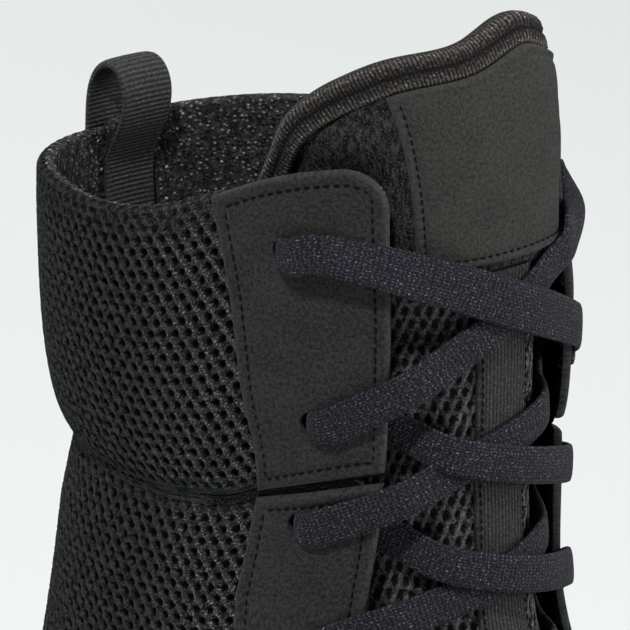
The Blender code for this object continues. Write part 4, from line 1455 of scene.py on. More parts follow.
@dataclass(frozen=True)
class Panel:
    """How a flat panel of the upper is cut: its rolled edge and the dent of its stitches."""

    thick: float = 1.2
    seat: float = 0.25
    edge_round: float = 0.6
    stitch_in: float = 2.4
    dent: float = 0.3
    dent_wide: float = 0.45
    puff: float = 0.15
    edges: tuple[float, ...] = (0.0, 0.03, 0.08, 0.15, 0.25, 0.4, 0.6, 0.9, 1.25, 1.6, 1.95, 2.2, 2.4, 2.6,
                                2.85, 3.3)
    step: float = 0.6

    def height(self, inside: Array) -> Array:
        """Height of the panel's face.

        Args:
            inside: how far inside the panel's edge.

        Returns:
            The heights above the upper.
        """
        reach = np.clip(inside / self.edge_round, 0, 1)
        crown = self.seat + self.thick * np.sqrt(1 - (1 - reach) ** 2)
        border = self.puff * np.exp(-((inside - self.stitch_in / 2) / (self.stitch_in / 3)) ** 2)
        return crown + border - self.dent * np.exp(-((inside - self.stitch_in) / self.dent_wide) ** 2)

    def edge_light(self, inside: Array) -> Array:
        """How worn the face is, most on its edge."""
        return 1 - ease((inside - 0.2) / 1.1)

    def solid(self, piece: Piece, station: Array, arc: Array, inside: Array, layout: Array,
              flip: bool) -> None:
        """Adds a panel's face, back and edge.

        Args:
            piece: the mesh.
            station: rows of stations.
            arc: rows of signed arcs.
            inside: how far inside the edge each point is.
            layout: where each point lies on the flat panel.
            flip: whether the grid runs the other way.
        """
        face = LAST.sheet_point(station, arc, self.height(inside))
        back = LAST.sheet_point(station, arc, self.seat * 0.6)
        worn = self.edge_light(inside)
        piece.add_grid(face, layout, flip=flip, edge=worn)
        piece.add_grid(back, layout, flip=not flip, edge=worn)
        rings = np.stack([rim_of(back), rim_of(face)])
        piece.add_grid(rings, np.stack([rim_of(layout)] * 2), flip=flip, ring=True, edge=1.0)


@dataclass(frozen=True)
class Stitching:
    """A row of lockstitches: short threads that dip into the panel at both ends."""

    pitch: float = 1.75
    length: float = 1.25
    radius: float = 0.2
    rise: float = 0.12
    rings: int = 6
    sides: int = 6

    def sew(self, piece: Piece, line: Array, out: Array) -> None:
        """Adds stitches along a line.

        Args:
            piece: the mesh.
            line: points along the seam.
            out: the panel's outward direction at each.
        """
        run = lengths_along(line)
        count = max(1, int(run[-1] / self.pitch))
        begin = (run[-1] - count * self.pitch + self.pitch - self.length) / 2
        share = np.linspace(0, 1, self.rings)
        bow = np.sin(share * math.pi)
        fat = self.radius * (0.45 + 0.55 * bow ** 0.5)
        angle = np.linspace(0, 2 * math.pi, self.sides, endpoint=False)
        cos, sin = np.cos(angle)[None, :, None], np.sin(angle)[None, :, None]
        cap = np.array([[0, 5, 4, 3], [0, 3, 2, 1]])
        caps = (cap, cap[:, ::-1] + (self.rings - 1) * self.sides)
        for number in range(count):
            places = begin + number * self.pitch + share * self.length
            middle = sampled(line, run, places)
            normal = unit(sampled(out, run, places))
            aside = unit(np.cross(normal, unit(np.gradient(middle, axis=0))))
            middle = middle + normal * ((bow - 0.45) * self.rise * 2)[:, None]
            ring = cos * aside[:, None] + sin * normal[:, None]
            points = middle[:, None] + ring * fat[:, None, None]
            piece.add_grid(points, pair(places[:, None], angle[None, :]), ring=True, caps=caps)


@dataclass
class Eyestays(SubAssembly):
    """The suede panels with the eyelets: two on the cuff and one round the lower throat."""

    panel: Panel = Panel()
    stitching: Stitching = Stitching()
    slit: float = 1.6
    collar_margin: float = 0.3
    eyelet_sides: int = 28
    punch: float = 6.0
    cuff_size: tuple[float, float] = (28.5, 52.0)
    lower_size: tuple[float, float] = (22.5, 330.0)
    lower_step: float = 1.6
    round_share: float = 0.24
    cuff_middle: float = 160.0
    cuff_top: float = 185.0
    lower_top: float = 130.0
    cuff_names: tuple[str, str] = ("eyestay_cuff_lateral", "eyestay_cuff_medial")

    def build(self) -> None:
        """Makes the panels, punches their eyelets and sews them."""
        thread = Piece("eyestay_stitches")
        for side, name in zip(Side, self.cuff_names):
            piece = Piece(name + "_suede")
            self._cuff_panel(piece, thread, side)
            made = piece.finish([self.finishes.suede], [name], weld=0.01)
            self._punch(made, EYELET_STATIONS[:2], (side,))
        piece = Piece("eyestay_lower_suede")
        self._lower_panel(piece, thread)
        made = piece.finish([self.finishes.suede], ["eyestay_lower"], weld=0.01)
        self._punch(made, EYELET_STATIONS[2:], tuple(Side))
        thread.finish([self.finishes.thread])

    def _cuff_place(self, side: Side, back: Array, up: Array) -> tuple[Array, Array]:
        """A place on a cuff panel.

        Args:
            side: the side of the shoe.
            back: shares from the throat's edge backwards.
            up: shares from the pinch seam to the collar.

        Returns:
            Stations and signed arcs.
        """
        middle = level(self.cuff_middle)
        rough = LAST.turn_at(middle, side * (LAST.gap_at(middle) + back * LAST.throat["wide"](middle)))
        foot = LAST.seam(90 * rough) + self.slit / 2
        near_top = level(self.cuff_top)
        wide = LAST.throat["wide"](near_top)
        at_top = LAST.turn_at(near_top, side * (LAST.gap_at(near_top) + back * wide))
        top = LAST.collar_height(at_top, back * wide) - self.collar_margin
        station = level(foot + up * (top - foot))
        return station, side * (LAST.gap_at(station) + back * LAST.throat["wide"](station))

    def _cuff_panel(self, piece: Piece, thread: Piece, side: Side) -> None:
        """Adds a cuff panel and its stitches.

        Args:
            piece: the panel's mesh.
            thread: the stitches' mesh.
            side: the side of the shoe.
        """
        wide, high = self.cuff_size
        across = spaced(wide, self.panel.edges, self.panel.step)
        climb = spaced(high, self.panel.edges, self.panel.step)
        station, arc = self._cuff_place(side, *np.meshgrid(across / wide, climb / high))
        flat = pair(arc, station)
        self.panel.solid(piece, station, arc, self._inside(flat), flat, flip=side == Side.OUTER)
        near, low = self.panel.stitch_in / wide, self.panel.stitch_in / high
        back, up = np.linspace(near, 1 - near, 60), np.linspace(low, 1 - low, 60)
        for row in ((1 - near, up), (back, 1 - low), (near, up), (back, low)):
            self._sew(thread, *self._cuff_place(side, *matched(*row)))

    def _sew(self, thread: Piece, station: Array, arc: Array) -> None:
        """Adds a row of stitches along a line of the upper.

        Args:
            thread: the stitches' mesh.
            station: stations along the line.
            arc: signed arcs along the line.
        """
        lift = float(self.panel.height(np.array(self.panel.stitch_in)))
        line = LAST.sheet_point(station, arc, lift + 0.06)
        self.stitching.sew(thread, line, LAST.axes(station, arc)[2])

    def _inside(self, flat: Array) -> Array:
        """How far each point of a grid is from the grid's border.

        Args:
            flat: rows of places on the flat panel.

        Returns:
            The distances.
        """
        nearest = np.full(flat.shape[:2], np.inf)
        for line in (flat[0], flat[-1], flat[:, 0], flat[:, -1]):
            first, way = line[:-1], np.diff(line, axis=0)
            apart = flat[:, :, None] - first[None, None]
            share = np.clip((apart * way).sum(-1) / np.maximum((way ** 2).sum(-1), 1e-9), 0, 1)
            off = np.linalg.norm(apart - share[..., None] * way, axis=-1).min(axis=2)
            nearest = np.minimum(nearest, off)
        return nearest

    def _lower_place(self, back: Array, run: Array) -> tuple[Array, Array]:
        """A place on the lower panel.

        Args:
            back: shares from the throat's edge outwards.
            run: -1 at the outer top, 0 at the throat's round end and 1 at the inner top.

        Returns:
            Stations and signed arcs.
        """
        end = along(THROAT_ROUND_X)
        near_top = level(self.lower_top)
        gap, wide = LAST.throat["gap"], LAST.throat["wide"]
        rough = LAST.turn_at(near_top, LAST.gap_at(near_top) + back * wide(near_top))
        top = level(LAST.seam(90 * rough) - self.slit / 2)
        side = np.where(run < 0, -1.0, 1.0)
        down = np.clip((np.abs(run) - self.round_share) / (1 - self.round_share), 0, 1)
        straight = end + down * (top - end)
        swing = np.clip(1 - np.abs(run) / self.round_share, 0, 1) * math.pi / 2
        reach = gap(end) + back * wide(end)
        in_round = np.abs(run) < self.round_share
        station = np.where(in_round, end - reach * np.sin(swing), straight)
        arc = np.where(in_round, reach * np.cos(swing), gap(straight) + back * wide(straight))
        return station, side * arc

    def _lower_panel(self, piece: Piece, thread: Piece) -> None:
        """Adds the lower panel and its stitches.

        Args:
            piece: the panel's mesh.
            thread: the stitches' mesh.
        """
        wide, long = self.lower_size
        across = spaced(wide, self.panel.edges, self.lower_step)
        run = spaced(long, self.panel.edges, self.lower_step)
        back, share = np.meshgrid(across / wide, run / long * 2 - 1)
        station, arc = self._lower_place(back, share)
        distance = np.minimum(back, 1 - back) * LAST.throat["wide"](station)
        distance = np.minimum(distance, (1 - np.abs(share)) * long / 2)
        flat = pair(back * wide, share * long / 2)
        self.panel.solid(piece, station, arc, distance, flat, flip=False)
        low, high = self.panel.stitch_in / wide, 1 - self.panel.stitch_in / wide
        ends = 1 - 2 * self.panel.stitch_in / long
        for side in (low, high):
            self._sew(thread, *self._lower_place(np.full(500, side), np.linspace(-ends, ends, 500)))
        for end in (-ends, ends):
            self._sew(thread, *self._lower_place(np.linspace(low, high, 40), np.full(40, end)))

    def _punch(self, made: bpy.types.Object, stations: Sequence[float], sides: Sequence[Side]) -> None:
        """Cuts round eyelets square through a panel.

        Args:
            made: the panel.
            stations: the eyelets' stations.
            sides: the sides that have them.
        """
        punches = bmesh.new()
        radii = {"radius1": EYELET_RADIUS * MM, "radius2": EYELET_RADIUS * MM}
        for station, side in itertools.product(stations, sides):
            arc = side * LAST.eyelet_arc(station)
            ends = [LAST.sheet_point(station, arc, far) for far in (self.punch, -self.punch)]
            top, foot = (Vector(to_frame(end)) for end in ends)
            way = top - foot
            cone = bmesh.ops.create_cone(punches, cap_ends=True, segments=self.eyelet_sides, depth=way.length,
                                         **radii)
            for corner in cone["verts"]:
                corner.co = way.to_track_quat("Z", "Y") @ corner.co + (top + foot) / 2
        mesh = bpy.data.meshes.new("punches")
        punches.to_mesh(mesh)
        punches.free()
        cutter = link("punches", mesh)
        cut = made.modifiers.new("eyelets", "BOOLEAN")
        cut.operation = "DIFFERENCE"
        cut.object = cutter
        bpy.context.view_layer.update()
        graph = bpy.context.evaluated_depsgraph_get()
        shaped = bpy.data.meshes.new_from_object(made.evaluated_get(graph))
        made.modifiers.clear()
        made.data = shaped
        bpy.data.objects.remove(cutter, do_unlink=True)


def tongue_place(across: Array, up: Array) -> tuple[Array, Array]:
    """A place on the tongue.

    Args:
        across: -1 at the outer edge, 1 at the inner edge.
        up: station below the shoulder, and above it the shoulder's station plus the share of the head.

    Returns:
        Stations and signed arcs.
    """
    shoulder = level(TONGUE_SHOULDER)
    head = np.clip(up - shoulder, 0, 1)
    head_z = TONGUE_SHOULDER + head * (LAST.tongue_top(across) - TONGUE_SHOULDER)
    station = np.where(head > 0, level(head_z), up)
    half = np.where(head > 0, LAST.tongue_head(head), LAST.tongue_half(up))
    return station, across * half


@dataclass
class Tongue(SubAssembly):
    """The padded tongue with its ribbed binding, suede patch and webbing strip."""

    thick: float = 4.6
    half_wide: float = 44.0
    edge_drop: float = 1.2
    lattice: Lattice = TONGUE_LATTICE
    hole_top: float = 166.0
    binding_wide: float = 5.0
    binding_gap: float = 0.5
    binding_proud: float = 0.6
    rib: float = 0.78
    rib_deep: float = 0.2
    panel: Panel = Panel(thick=1.0, seat=0.3, stitch_in=1.6, edge_round=0.7, dent=0.2,
                         edges=(0.0, 0.1, 0.3, 0.6, 0.95, 1.3, 1.6, 1.9, 2.3))
    stitching: Stitching = Stitching(pitch=1.5, length=1.05, radius=0.17)
    patch_bottom: float = 172.9
    patch_high: float = 33.0
    patch_step: float = 0.9
    patch_half: float = 17.5
    patch_flare: float = 4.8
    patch_margin: float = 0.2
    strip_half: float = 6.0
    strip_thick: float = 0.9
    strip_ribs: int = 15

    def build(self) -> None:
        """Makes the tongue and what is sewn to it."""
        self._pad()
        self._binding()
        thread = Piece("tongue_stitches")
        self._patch(thread)
        self._strip(thread)
        thread.finish([self.finishes.thread])

    def _pad(self) -> None:
        """Makes the padded tongue."""
        shoulder = level(TONGUE_SHOULDER)
        body = np.arange(along(TONGUE_TOE_X), shoulder, self.lattice.high / 7)
        rows = np.concatenate([body, shoulder + np.linspace(0.0, 1.02, 48)])
        across = np.linspace(-1, 1, 2 * round(self.half_wide / (self.lattice.wide / 4)) + 1)
        side, up = np.meshgrid(across, rows)
        station, arc = tongue_place(side, up)
        in_head = ease((station - level(self.hole_top)) / 8)
        relief = self.lattice.relief(arc, station) * (1 - in_head)
        edge = ease((1 - np.abs(side)) / 0.12)
        drop = self.edge_drop * (1 - edge)
        inset = LAST.tongue_inset(station, arc)
        face = LAST.sheet_point(station, arc, relief * edge - inset - drop)
        flat = pair(arc, station)
        coarse = (slice(None, None, 4), slice(None, None, 4))
        back = LAST.sheet_point(station[coarse], arc[coarse], -(inset + (self.thick - drop))[coarse])
        piece = Piece("tongue_pad")
        # Painted shade in the holes below the head, painted glints mostly on the head, and the head's own
        # darker tone.
        piece.add_grid(face, flat, pit=0.92 * (1 - in_head), shine=0.3 + 0.7 * in_head, streak=in_head,
                       dark=0.66 * in_head)
        plain = dict.fromkeys(("pit", "shine", "streak", "dark"), 0.0)
        piece.add_grid(back, flat[coarse], material=1, flip=True, **plain)
        for column, flip in ((0, False), (-1, True)):
            front, behind = face[:, column], back[:, column]
            behind = sampled(behind, np.linspace(0, 1, len(behind)), np.linspace(0, 1, len(front)))
            grid = np.stack([behind, (behind + front) / 2, front], axis=1)
            piece.add_grid(grid, grid[..., [1, 2]], material=1, flip=flip, **plain)
        made = piece.finish([self.finishes.tongue_mesh, self.finishes.lining], ["tongue"])

    def _binding(self) -> None:
        """Makes the ribbed tape folded over the head's edge."""
        shoulder = level(TONGUE_SHOULDER)
        rise = shoulder + np.linspace(0, 1, 60)
        across = np.concatenate([np.full(59, -1.0), np.linspace(-1, 1, 120), np.full(59, 1.0)])
        up = np.concatenate([rise[:-1], np.full(120, shoulder + 1), rise[-2::-1]])
        edge = pair(*tongue_place(across, np.maximum(up, shoulder + 1e-6)))
        run = lengths_along(edge)
        edge = sampled(edge, run, np.linspace(0, run[-1], round(run[-1] / self.rib) * 4 + 1))
        edge = smoothed(np.pad(edge, ((20, 20), (0, 0)), mode="reflect", reflect_type="odd"), 2, 41)
        way = np.gradient(edge, axis=0)
        out = unit(pair(way[:, 1], -way[:, 0]))
        half = self.thick / 2 + self.binding_proud
        wide = self.binding_wide + self.binding_gap
        profile = [(-0.2, half - 0.9), (0.0, half - 0.25), (0.35, half), (1.1, half + 0.08),
                   (1.9, half + 0.04), (2.25, half - 0.22), (2.45, half - 0.3), (2.65, half - 0.2),
                   (3.0, half + 0.05), (3.9, half - 0.05)]
        for angle in np.radians((62, 40, 18, 0, -18, -40, -62)):
            profile.append((wide - 1.6 + 1.6 * math.cos(angle), (half - 0.15) * math.sin(angle)))
        profile += [(3.6, -half), (2.0, -half - 0.05), (0.4, -half), (-0.2, -half + 0.9)]
        reach, depth = np.array(profile).T
        wave = np.cos(np.arange(len(edge)) * math.pi / 2) * 0.5 + 0.5
        grooved = np.exp(-((reach - 2.45) / 0.25) ** 2)
        ticks = np.exp(-((reach - 4.5) / 0.55) ** 2) + np.exp(-((reach - 0.5) / 0.5) ** 2)
        swell = self.rib_deep * (0.3 + 0.7 * ticks)[None, :] * (wave[:, None] - 0.5)
        flat = edge[:, None] + out[:, None] * (self.binding_gap + reach - 0.5)[None, :, None]
        inset = LAST.tongue_inset(edge[:, 0], edge[:, 1])[:, None] + self.thick / 2
        points = LAST.sheet_point(flat[..., 0], flat[..., 1], depth[None, :] * (1 + swell / half) - inset)
        layout = pair(np.arange(len(edge))[:, None] * self.rib / 4, np.arange(len(reach))[None, :] * 0.8)
        # Painted light and shade: paler on the rib crests and along both edges of the face, darker in the
        # troughs and in the groove along the tape.
        rib = (0.2 + 0.8 * wave[:, None]) * (0.45 + 0.75 * ticks * (depth > 0) - 0.35 * grooved)[None, :]
        piece = Piece("tongue_binding_tape")
        piece.add_grid(points, layout, ring=True, rib=rib)
        piece.finish([self.finishes.binding], ["tongue_binding"])

    def _patch(self, thread: Piece) -> None:
        """Makes the bare suede patch on the head.

        Args:
            thread: the stitches' mesh.
        """
        wide, high = 2 * self.patch_half, self.patch_high
        across = spaced(wide, self.panel.edges, self.patch_step) / wide * 2 - 1
        side, up = np.meshgrid(across, spaced(high, self.panel.edges, self.patch_step) / high)
        station, arc = self._patch_place(side, up)
        inside = np.minimum((1 - np.abs(side)) * self.patch_half, np.minimum(up, 1 - up) * high)
        inset = LAST.tongue_inset(station, arc)
        piece = Piece("tongue_patch_suede")
        for lift, flip in ((self.panel.height(inside), False), (0.1, True)):
            face = LAST.sheet_point(station, arc, lift - inset)
            piece.add_grid(face, pair(arc, station), flip=flip, edge=self.panel.edge_light(inside))
        piece.finish([self.finishes.patch], ["tongue_patch"])
        inset_share = 1 - self.panel.stitch_in / self.patch_half
        lift = float(self.panel.height(np.array(self.panel.stitch_in))) + 0.05
        rows, climb = np.linspace(-inset_share, inset_share, 60), np.linspace(0.06, 0.97, 60)
        for row in ((-inset_share, climb), (inset_share, climb), (rows, 0.05)):
            place, arcs = self._patch_place(*matched(*row))
            line = LAST.sheet_point(place, arcs, lift - LAST.tongue_inset(place, arcs))
            self.stitching.sew(thread, line, LAST.axes(place, arcs)[2])

    def _patch_place(self, side: Array, up: Array) -> tuple[Array, Array]:
        """A place on the patch.

        Args:
            side: -1 to 1 across it.
            up: 0 to 1 up it.

        Returns:
            Stations and signed arcs.
        """
        arc = side * (self.patch_half + self.patch_flare * up ** 1.8)
        top = LAST.tongue_top(arc / TONGUE_HEAD["half"][-1]) - self.patch_margin
        return level(self.patch_bottom + up * (top - self.patch_bottom)), arc

    def _strip(self, thread: Piece) -> None:
        """Makes the webbing strip down the middle, with ribs along it.

        Args:
            thread: the stitches' mesh.
        """
        across = np.linspace(-1, 1, self.strip_ribs * 4 + 1)
        rows = np.arange(along(THROAT_ROUND_X), level(self.patch_bottom) - 0.4, 1.5)
        side, station = np.meshgrid(across, rows)
        arc = side * self.strip_half
        wave = 0.5 - 0.5 * np.cos((side + 1) * self.strip_ribs * math.pi)
        rounded = np.sqrt(np.clip(1 - np.abs(side) ** 14, 0, 1))
        inset = LAST.tongue_inset(station, arc)
        lift = 0.25 + self.strip_thick * rounded + 0.2 * (wave - 0.5) * rounded
        piece = Piece("tongue_strip_webbing")
        # Painted light and shade: rib follows the ribs, paler on their crests and darker between them.
        for face, rib, flip in ((lift, 0.25 + 0.75 * wave, False), (0.1, 0.0, True)):
            points = LAST.sheet_point(station, arc, face - inset)
            piece.add_grid(points, pair(arc, station), flip=flip, rib=rib)
        piece.finish([self.finishes.webbing], ["tongue_strip"])
        place = np.arange(along(THROAT_ROUND_X) + 2, level(self.patch_bottom) - 3, 1.0)
        for edge in (-1, 1):
            arcs = np.full_like(place, edge * (self.strip_half - 1.0))
            line = LAST.sheet_point(place, arcs, 0.3 + self.strip_thick - LAST.tongue_inset(place, arcs))
            self.stitching.sew(thread, line, LAST.axes(place, arcs)[2])


@dataclass
class PullLoop(SubAssembly):
    """The ribbed webbing loop over the collar at the heel."""

    wide: float = 10.2
    place_y: float = 1.8
    bend: float = 33.0
    thick: float = 1.3
    rib: float = 0.86
    rib_deep: float = 0.2

    def build(self) -> None:
        """Makes the loop."""
        steps = np.arange(len(LOOP_PATH))
        fine = np.linspace(0, len(LOOP_PATH) - 1, 800)
        path = np.stack([Spline(steps, LOOP_PATH[name])(fine) for name in ("x", "z")], axis=1)
        run = lengths_along(path)
        count = round(run[-1] / self.rib) * 6 + 1
        even = np.linspace(0, run[-1], count)
        path = sampled(path, run, even)
        way = unit(np.gradient(path, axis=0))
        angle = np.linspace(0, 2 * math.pi, 28, endpoint=False)
        across = flattened(np.cos(angle), 0.35) * self.wide / 2
        through = flattened(np.sin(angle), 0.5) * self.thick / 2
        wave = 0.5 - 0.5 * np.cos(np.arange(count) * 2 * math.pi / 6)
        flatness = 1 - np.abs(across / self.wide * 2) ** 8
        swell = through[None, :] * (1 + self.rib_deep / self.thick * (wave[:, None] - 0.5) * 2 * flatness)
        y = np.broadcast_to(self.place_y + across, swell.shape)
        x = path[:, 0:1] - way[:, 1:2] * swell + y ** 2 / (2 * self.bend)
        z = path[:, 1:2] + way[:, 0:1] * swell
        piece = Piece("pull_loop_webbing")
        layout = pair(even[:, None], across[None, :])
        # Painted light and shade: rib follows the ribs, paler on their crests and darker between them.
        piece.add_grid(np.stack([x, y, z], axis=-1), layout, ring=True, rib=0.2 + 0.8 * wave[:, None])
        piece.finish([self.finishes.loop], ["pull_loop"])


@dataclass(frozen=True)
class LaceRun:
    """How one run of the lace lies off the straight line between its eyelets."""

    bow: float = 0.0
    peak: float = 0.5
    rise: float = 0.0
    wide: float = 6.5
    lift: float = 0.0
    tilt: float = 0.0
    tilt_at: float = 0.12


@dataclass
class Lace(SubAssembly):
    """The flat lace, one length from top eyelet to top eyelet, through every eyelet of both sides."""

    runs: dict[tuple[int, int], LaceRun] = field(default_factory=lambda: {
        (0, Side.OUTER): LaceRun(bow=5.2, peak=0.3, rise=3.6, wide=8.2, lift=1.8, tilt=-0.7, tilt_at=0.16),
        (0, Side.INNER): LaceRun(bow=5.0, peak=0.33, lift=1.2, tilt=0.9),
        (1, Side.OUTER): LaceRun(bow=0.6, rise=-1.0),
        (1, Side.INNER): LaceRun(bow=3.8, peak=0.45),
    })
    wide: float = 6.5
    thick: float = 1.5
    over: float = 1.3
    under: float = -0.5
    on_top: float = 2.55
    inside: float = -3.9
    tuck: float = 6.0
    hole_wide: float = 4.4
    hole_thick: float = 2.0
    step: float = 0.75
    sides: int = 18
    level_share: float = 0.45

    def build(self) -> None:
        """Makes the lace."""
        outer = self._strand(Side.OUTER)
        inner = self._strand(Side.INNER)
        bar = self._bar(outer[-1], inner[-1])
        knots = np.array(outer + bar + inner[::-1])
        points = LAST.sheet_point(*knots[:, :3].T)
        across, up, out = LAST.axes(*knots[:, :2].T)
        aside = unit(up * knots[:, 3:4] + across * knots[:, 4:5] + out * knots[:, 7:8])
        for i in range(1, len(aside)):
            if np.dot(aside[i], aside[i - 1]) < 0:
                aside[i] *= -1
        run = lengths_along(points)
        even = np.arange(0, run[-1], self.step)
        track = sampled(np.column_stack([points, aside, knots[:, 5:7]]), run, even)
        track = smoothed(np.pad(track, ((4, 4), (0, 0)), mode="edge"), 1.8, 9)
        middle, aside = track[:, :3], unit(track[:, 3:6])
        ahead = unit(np.gradient(middle, axis=0))
        aside = unit(aside - ahead * (aside * ahead).sum(axis=1, keepdims=True))
        face = np.cross(ahead, aside)
        angle = np.linspace(0, 2 * math.pi, self.sides, endpoint=False)
        over = track[:, 6:7] * flattened(np.cos(angle), 0.75) / 2
        through = track[:, 7:8] * flattened(np.sin(angle), 0.7) / 2
        points = middle[:, None] + aside[:, None] * over[..., None] + face[:, None] * through[..., None]
        piece = Piece("lace")
        piece.add_grid(points, pair(even[:, None], over), ring=True)
        names = [f"lace_cross_{row + 1}" for row in range(len(EYELET_STATIONS) - 1)] + ["lace_bar"]
        log.info("lace length %.0f mm", run[-1])
        piece.finish([self.finishes.lace], names)

    def _eyelet(self, row: int, side: int) -> tuple[float, float, float]:
        """Station, throat edge and signed arc of an eyelet."""
        station = EYELET_STATIONS[row]
        return station, float(LAST.gap_at(station)), side * LAST.eyelet_arc(station)

    def _strand(self, first: Side) -> list[Knot]:
        """Half of the lace, from a top eyelet down to the last one.

        Args:
            first: the side of its top eyelet.

        Returns:
            Station, arc, offset, the width's direction, width, thickness and tilt of each knot.
        """
        knots: list[Knot] = []
        side = int(first)
        for row in range(len(EYELET_STATIONS) - 1):
            middle = self.over if side == Side.OUTER else self.under
            knots += self._through(row, side, from_inside=row == 0)
            knots += self._crossing(row, side, middle)
            side = -side
        knots += self._through(len(EYELET_STATIONS) - 1, side, from_inside=False)
        return knots

    def _through(self, row: int, side: int, from_inside: bool) -> list[Knot]:
        """The lace through an eyelet: in from the top, or out from its hidden end.

        Args:
            row: the eyelet's row.
            side: the eyelet's side.
            from_inside: whether the lace starts here.

        Returns:
            The knots.
        """
        station, gap, arc = self._eyelet(row, side)
        size = abs(arc)
        turn = [(size - 1.6, self.on_top), (size - 0.3, self.on_top - 0.25), (size + 0.5, 0.9),
                (size + 0.5, -1.2), (size - 0.2, -2.9), (size - 2.0, self.inside),
                (gap + self.tuck, self.inside)]
        shapes = [(self.wide * 0.92, self.thick * 1.1), (self.wide * 0.8, self.thick * 1.3),
                  *[(self.hole_wide, self.hole_thick)] * 3, (self.wide * 0.85, self.thick),
                  (self.wide, self.thick)]
        if from_inside:
            turn[:3] = [(size - 1.3, self.on_top + 0.8), (size + 0.4, self.on_top + 0.2), (size + 0.9, 0.9)]
            shapes[:2] = [(self.wide, self.thick), (self.wide * 0.88, self.thick * 1.3)]
        knots = [(station, side * far, offset, 1.0, 0.0, *shape, 0.0)
                 for (far, offset), shape in zip(turn, shapes)]
        return knots[:6][::-1] if from_inside else knots

    def _crossing(self, row: int, side: int, middle: float) -> list[Knot]:
        """The lace from one side's eyelet over the throat to the next row of the other side.

        Args:
            row: the row where it starts.
            side: the side where it starts.
            middle: its offset over the throat.

        Returns:
            The knots.
        """
        station, gap, arc = self._eyelet(row, side)
        first = (station, side * (gap + self.tuck), self.inside)
        if row == 0:
            first = (station, arc - side * 2.5, self.on_top)
        next_station, _, next_arc = self._eyelet(row + 1, -side)
        run = self.runs.get((row, side), LaceRun(wide=self.wide))
        last = (next_station + run.rise, next_arc + side * 2.5, self.on_top)
        share = np.linspace(0, 1, 40)
        bow = run.bow * np.sin(math.pi * share ** (math.log(0.5) / math.log(run.peak)))
        flat_station = first[0] + share * (last[0] - first[0]) + bow
        flat_arc = first[1] + share * (last[1] - first[1])
        reach = np.abs(flat_arc) / LAST.gap_at(flat_station)
        goal = np.where(np.sign(flat_arc) == side, first[2], last[2])
        offset = middle + (goal - middle) * ease((reach - self.level_share) / self.level_share)
        offset = offset + run.lift * np.exp(-(share / 0.18) ** 2)
        ways = unit(np.stack([np.gradient(flat_arc), -np.gradient(flat_station)], axis=1))
        wides = self.wide + (run.wide - self.wide) * np.sin(math.pi * share)
        tilts = run.tilt * np.exp(-((share - run.tilt_at) / run.tilt_at) ** 2)
        rows = zip(flat_station, flat_arc, offset, ways, wides, tilts)
        return [(s, a, o, *way, wide, self.thick, tilt) for s, a, o, way, wide, tilt in rows]

    def _bar(self, first: Knot, last: Knot) -> list[Knot]:
        """The bar between the two lowest eyelets, inside the throat's edges.

        Args:
            first: the knot where it starts.
            last: the knot where it ends.

        Returns:
            The knots.
        """
        share = np.linspace(0, 1, 20)[1:-1]
        lift = np.sin(share * math.pi) ** 0.6
        station = first[0] + share * (last[0] - first[0]) - 1.6 * lift
        arc = first[1] + share * (last[1] - first[1])
        offset = self.inside + (self.under - self.inside) * lift
        return [(s, a, o, 1.0, 0.0, self.wide, self.thick, 0.0) for s, a, o in zip(station, arc, offset)]


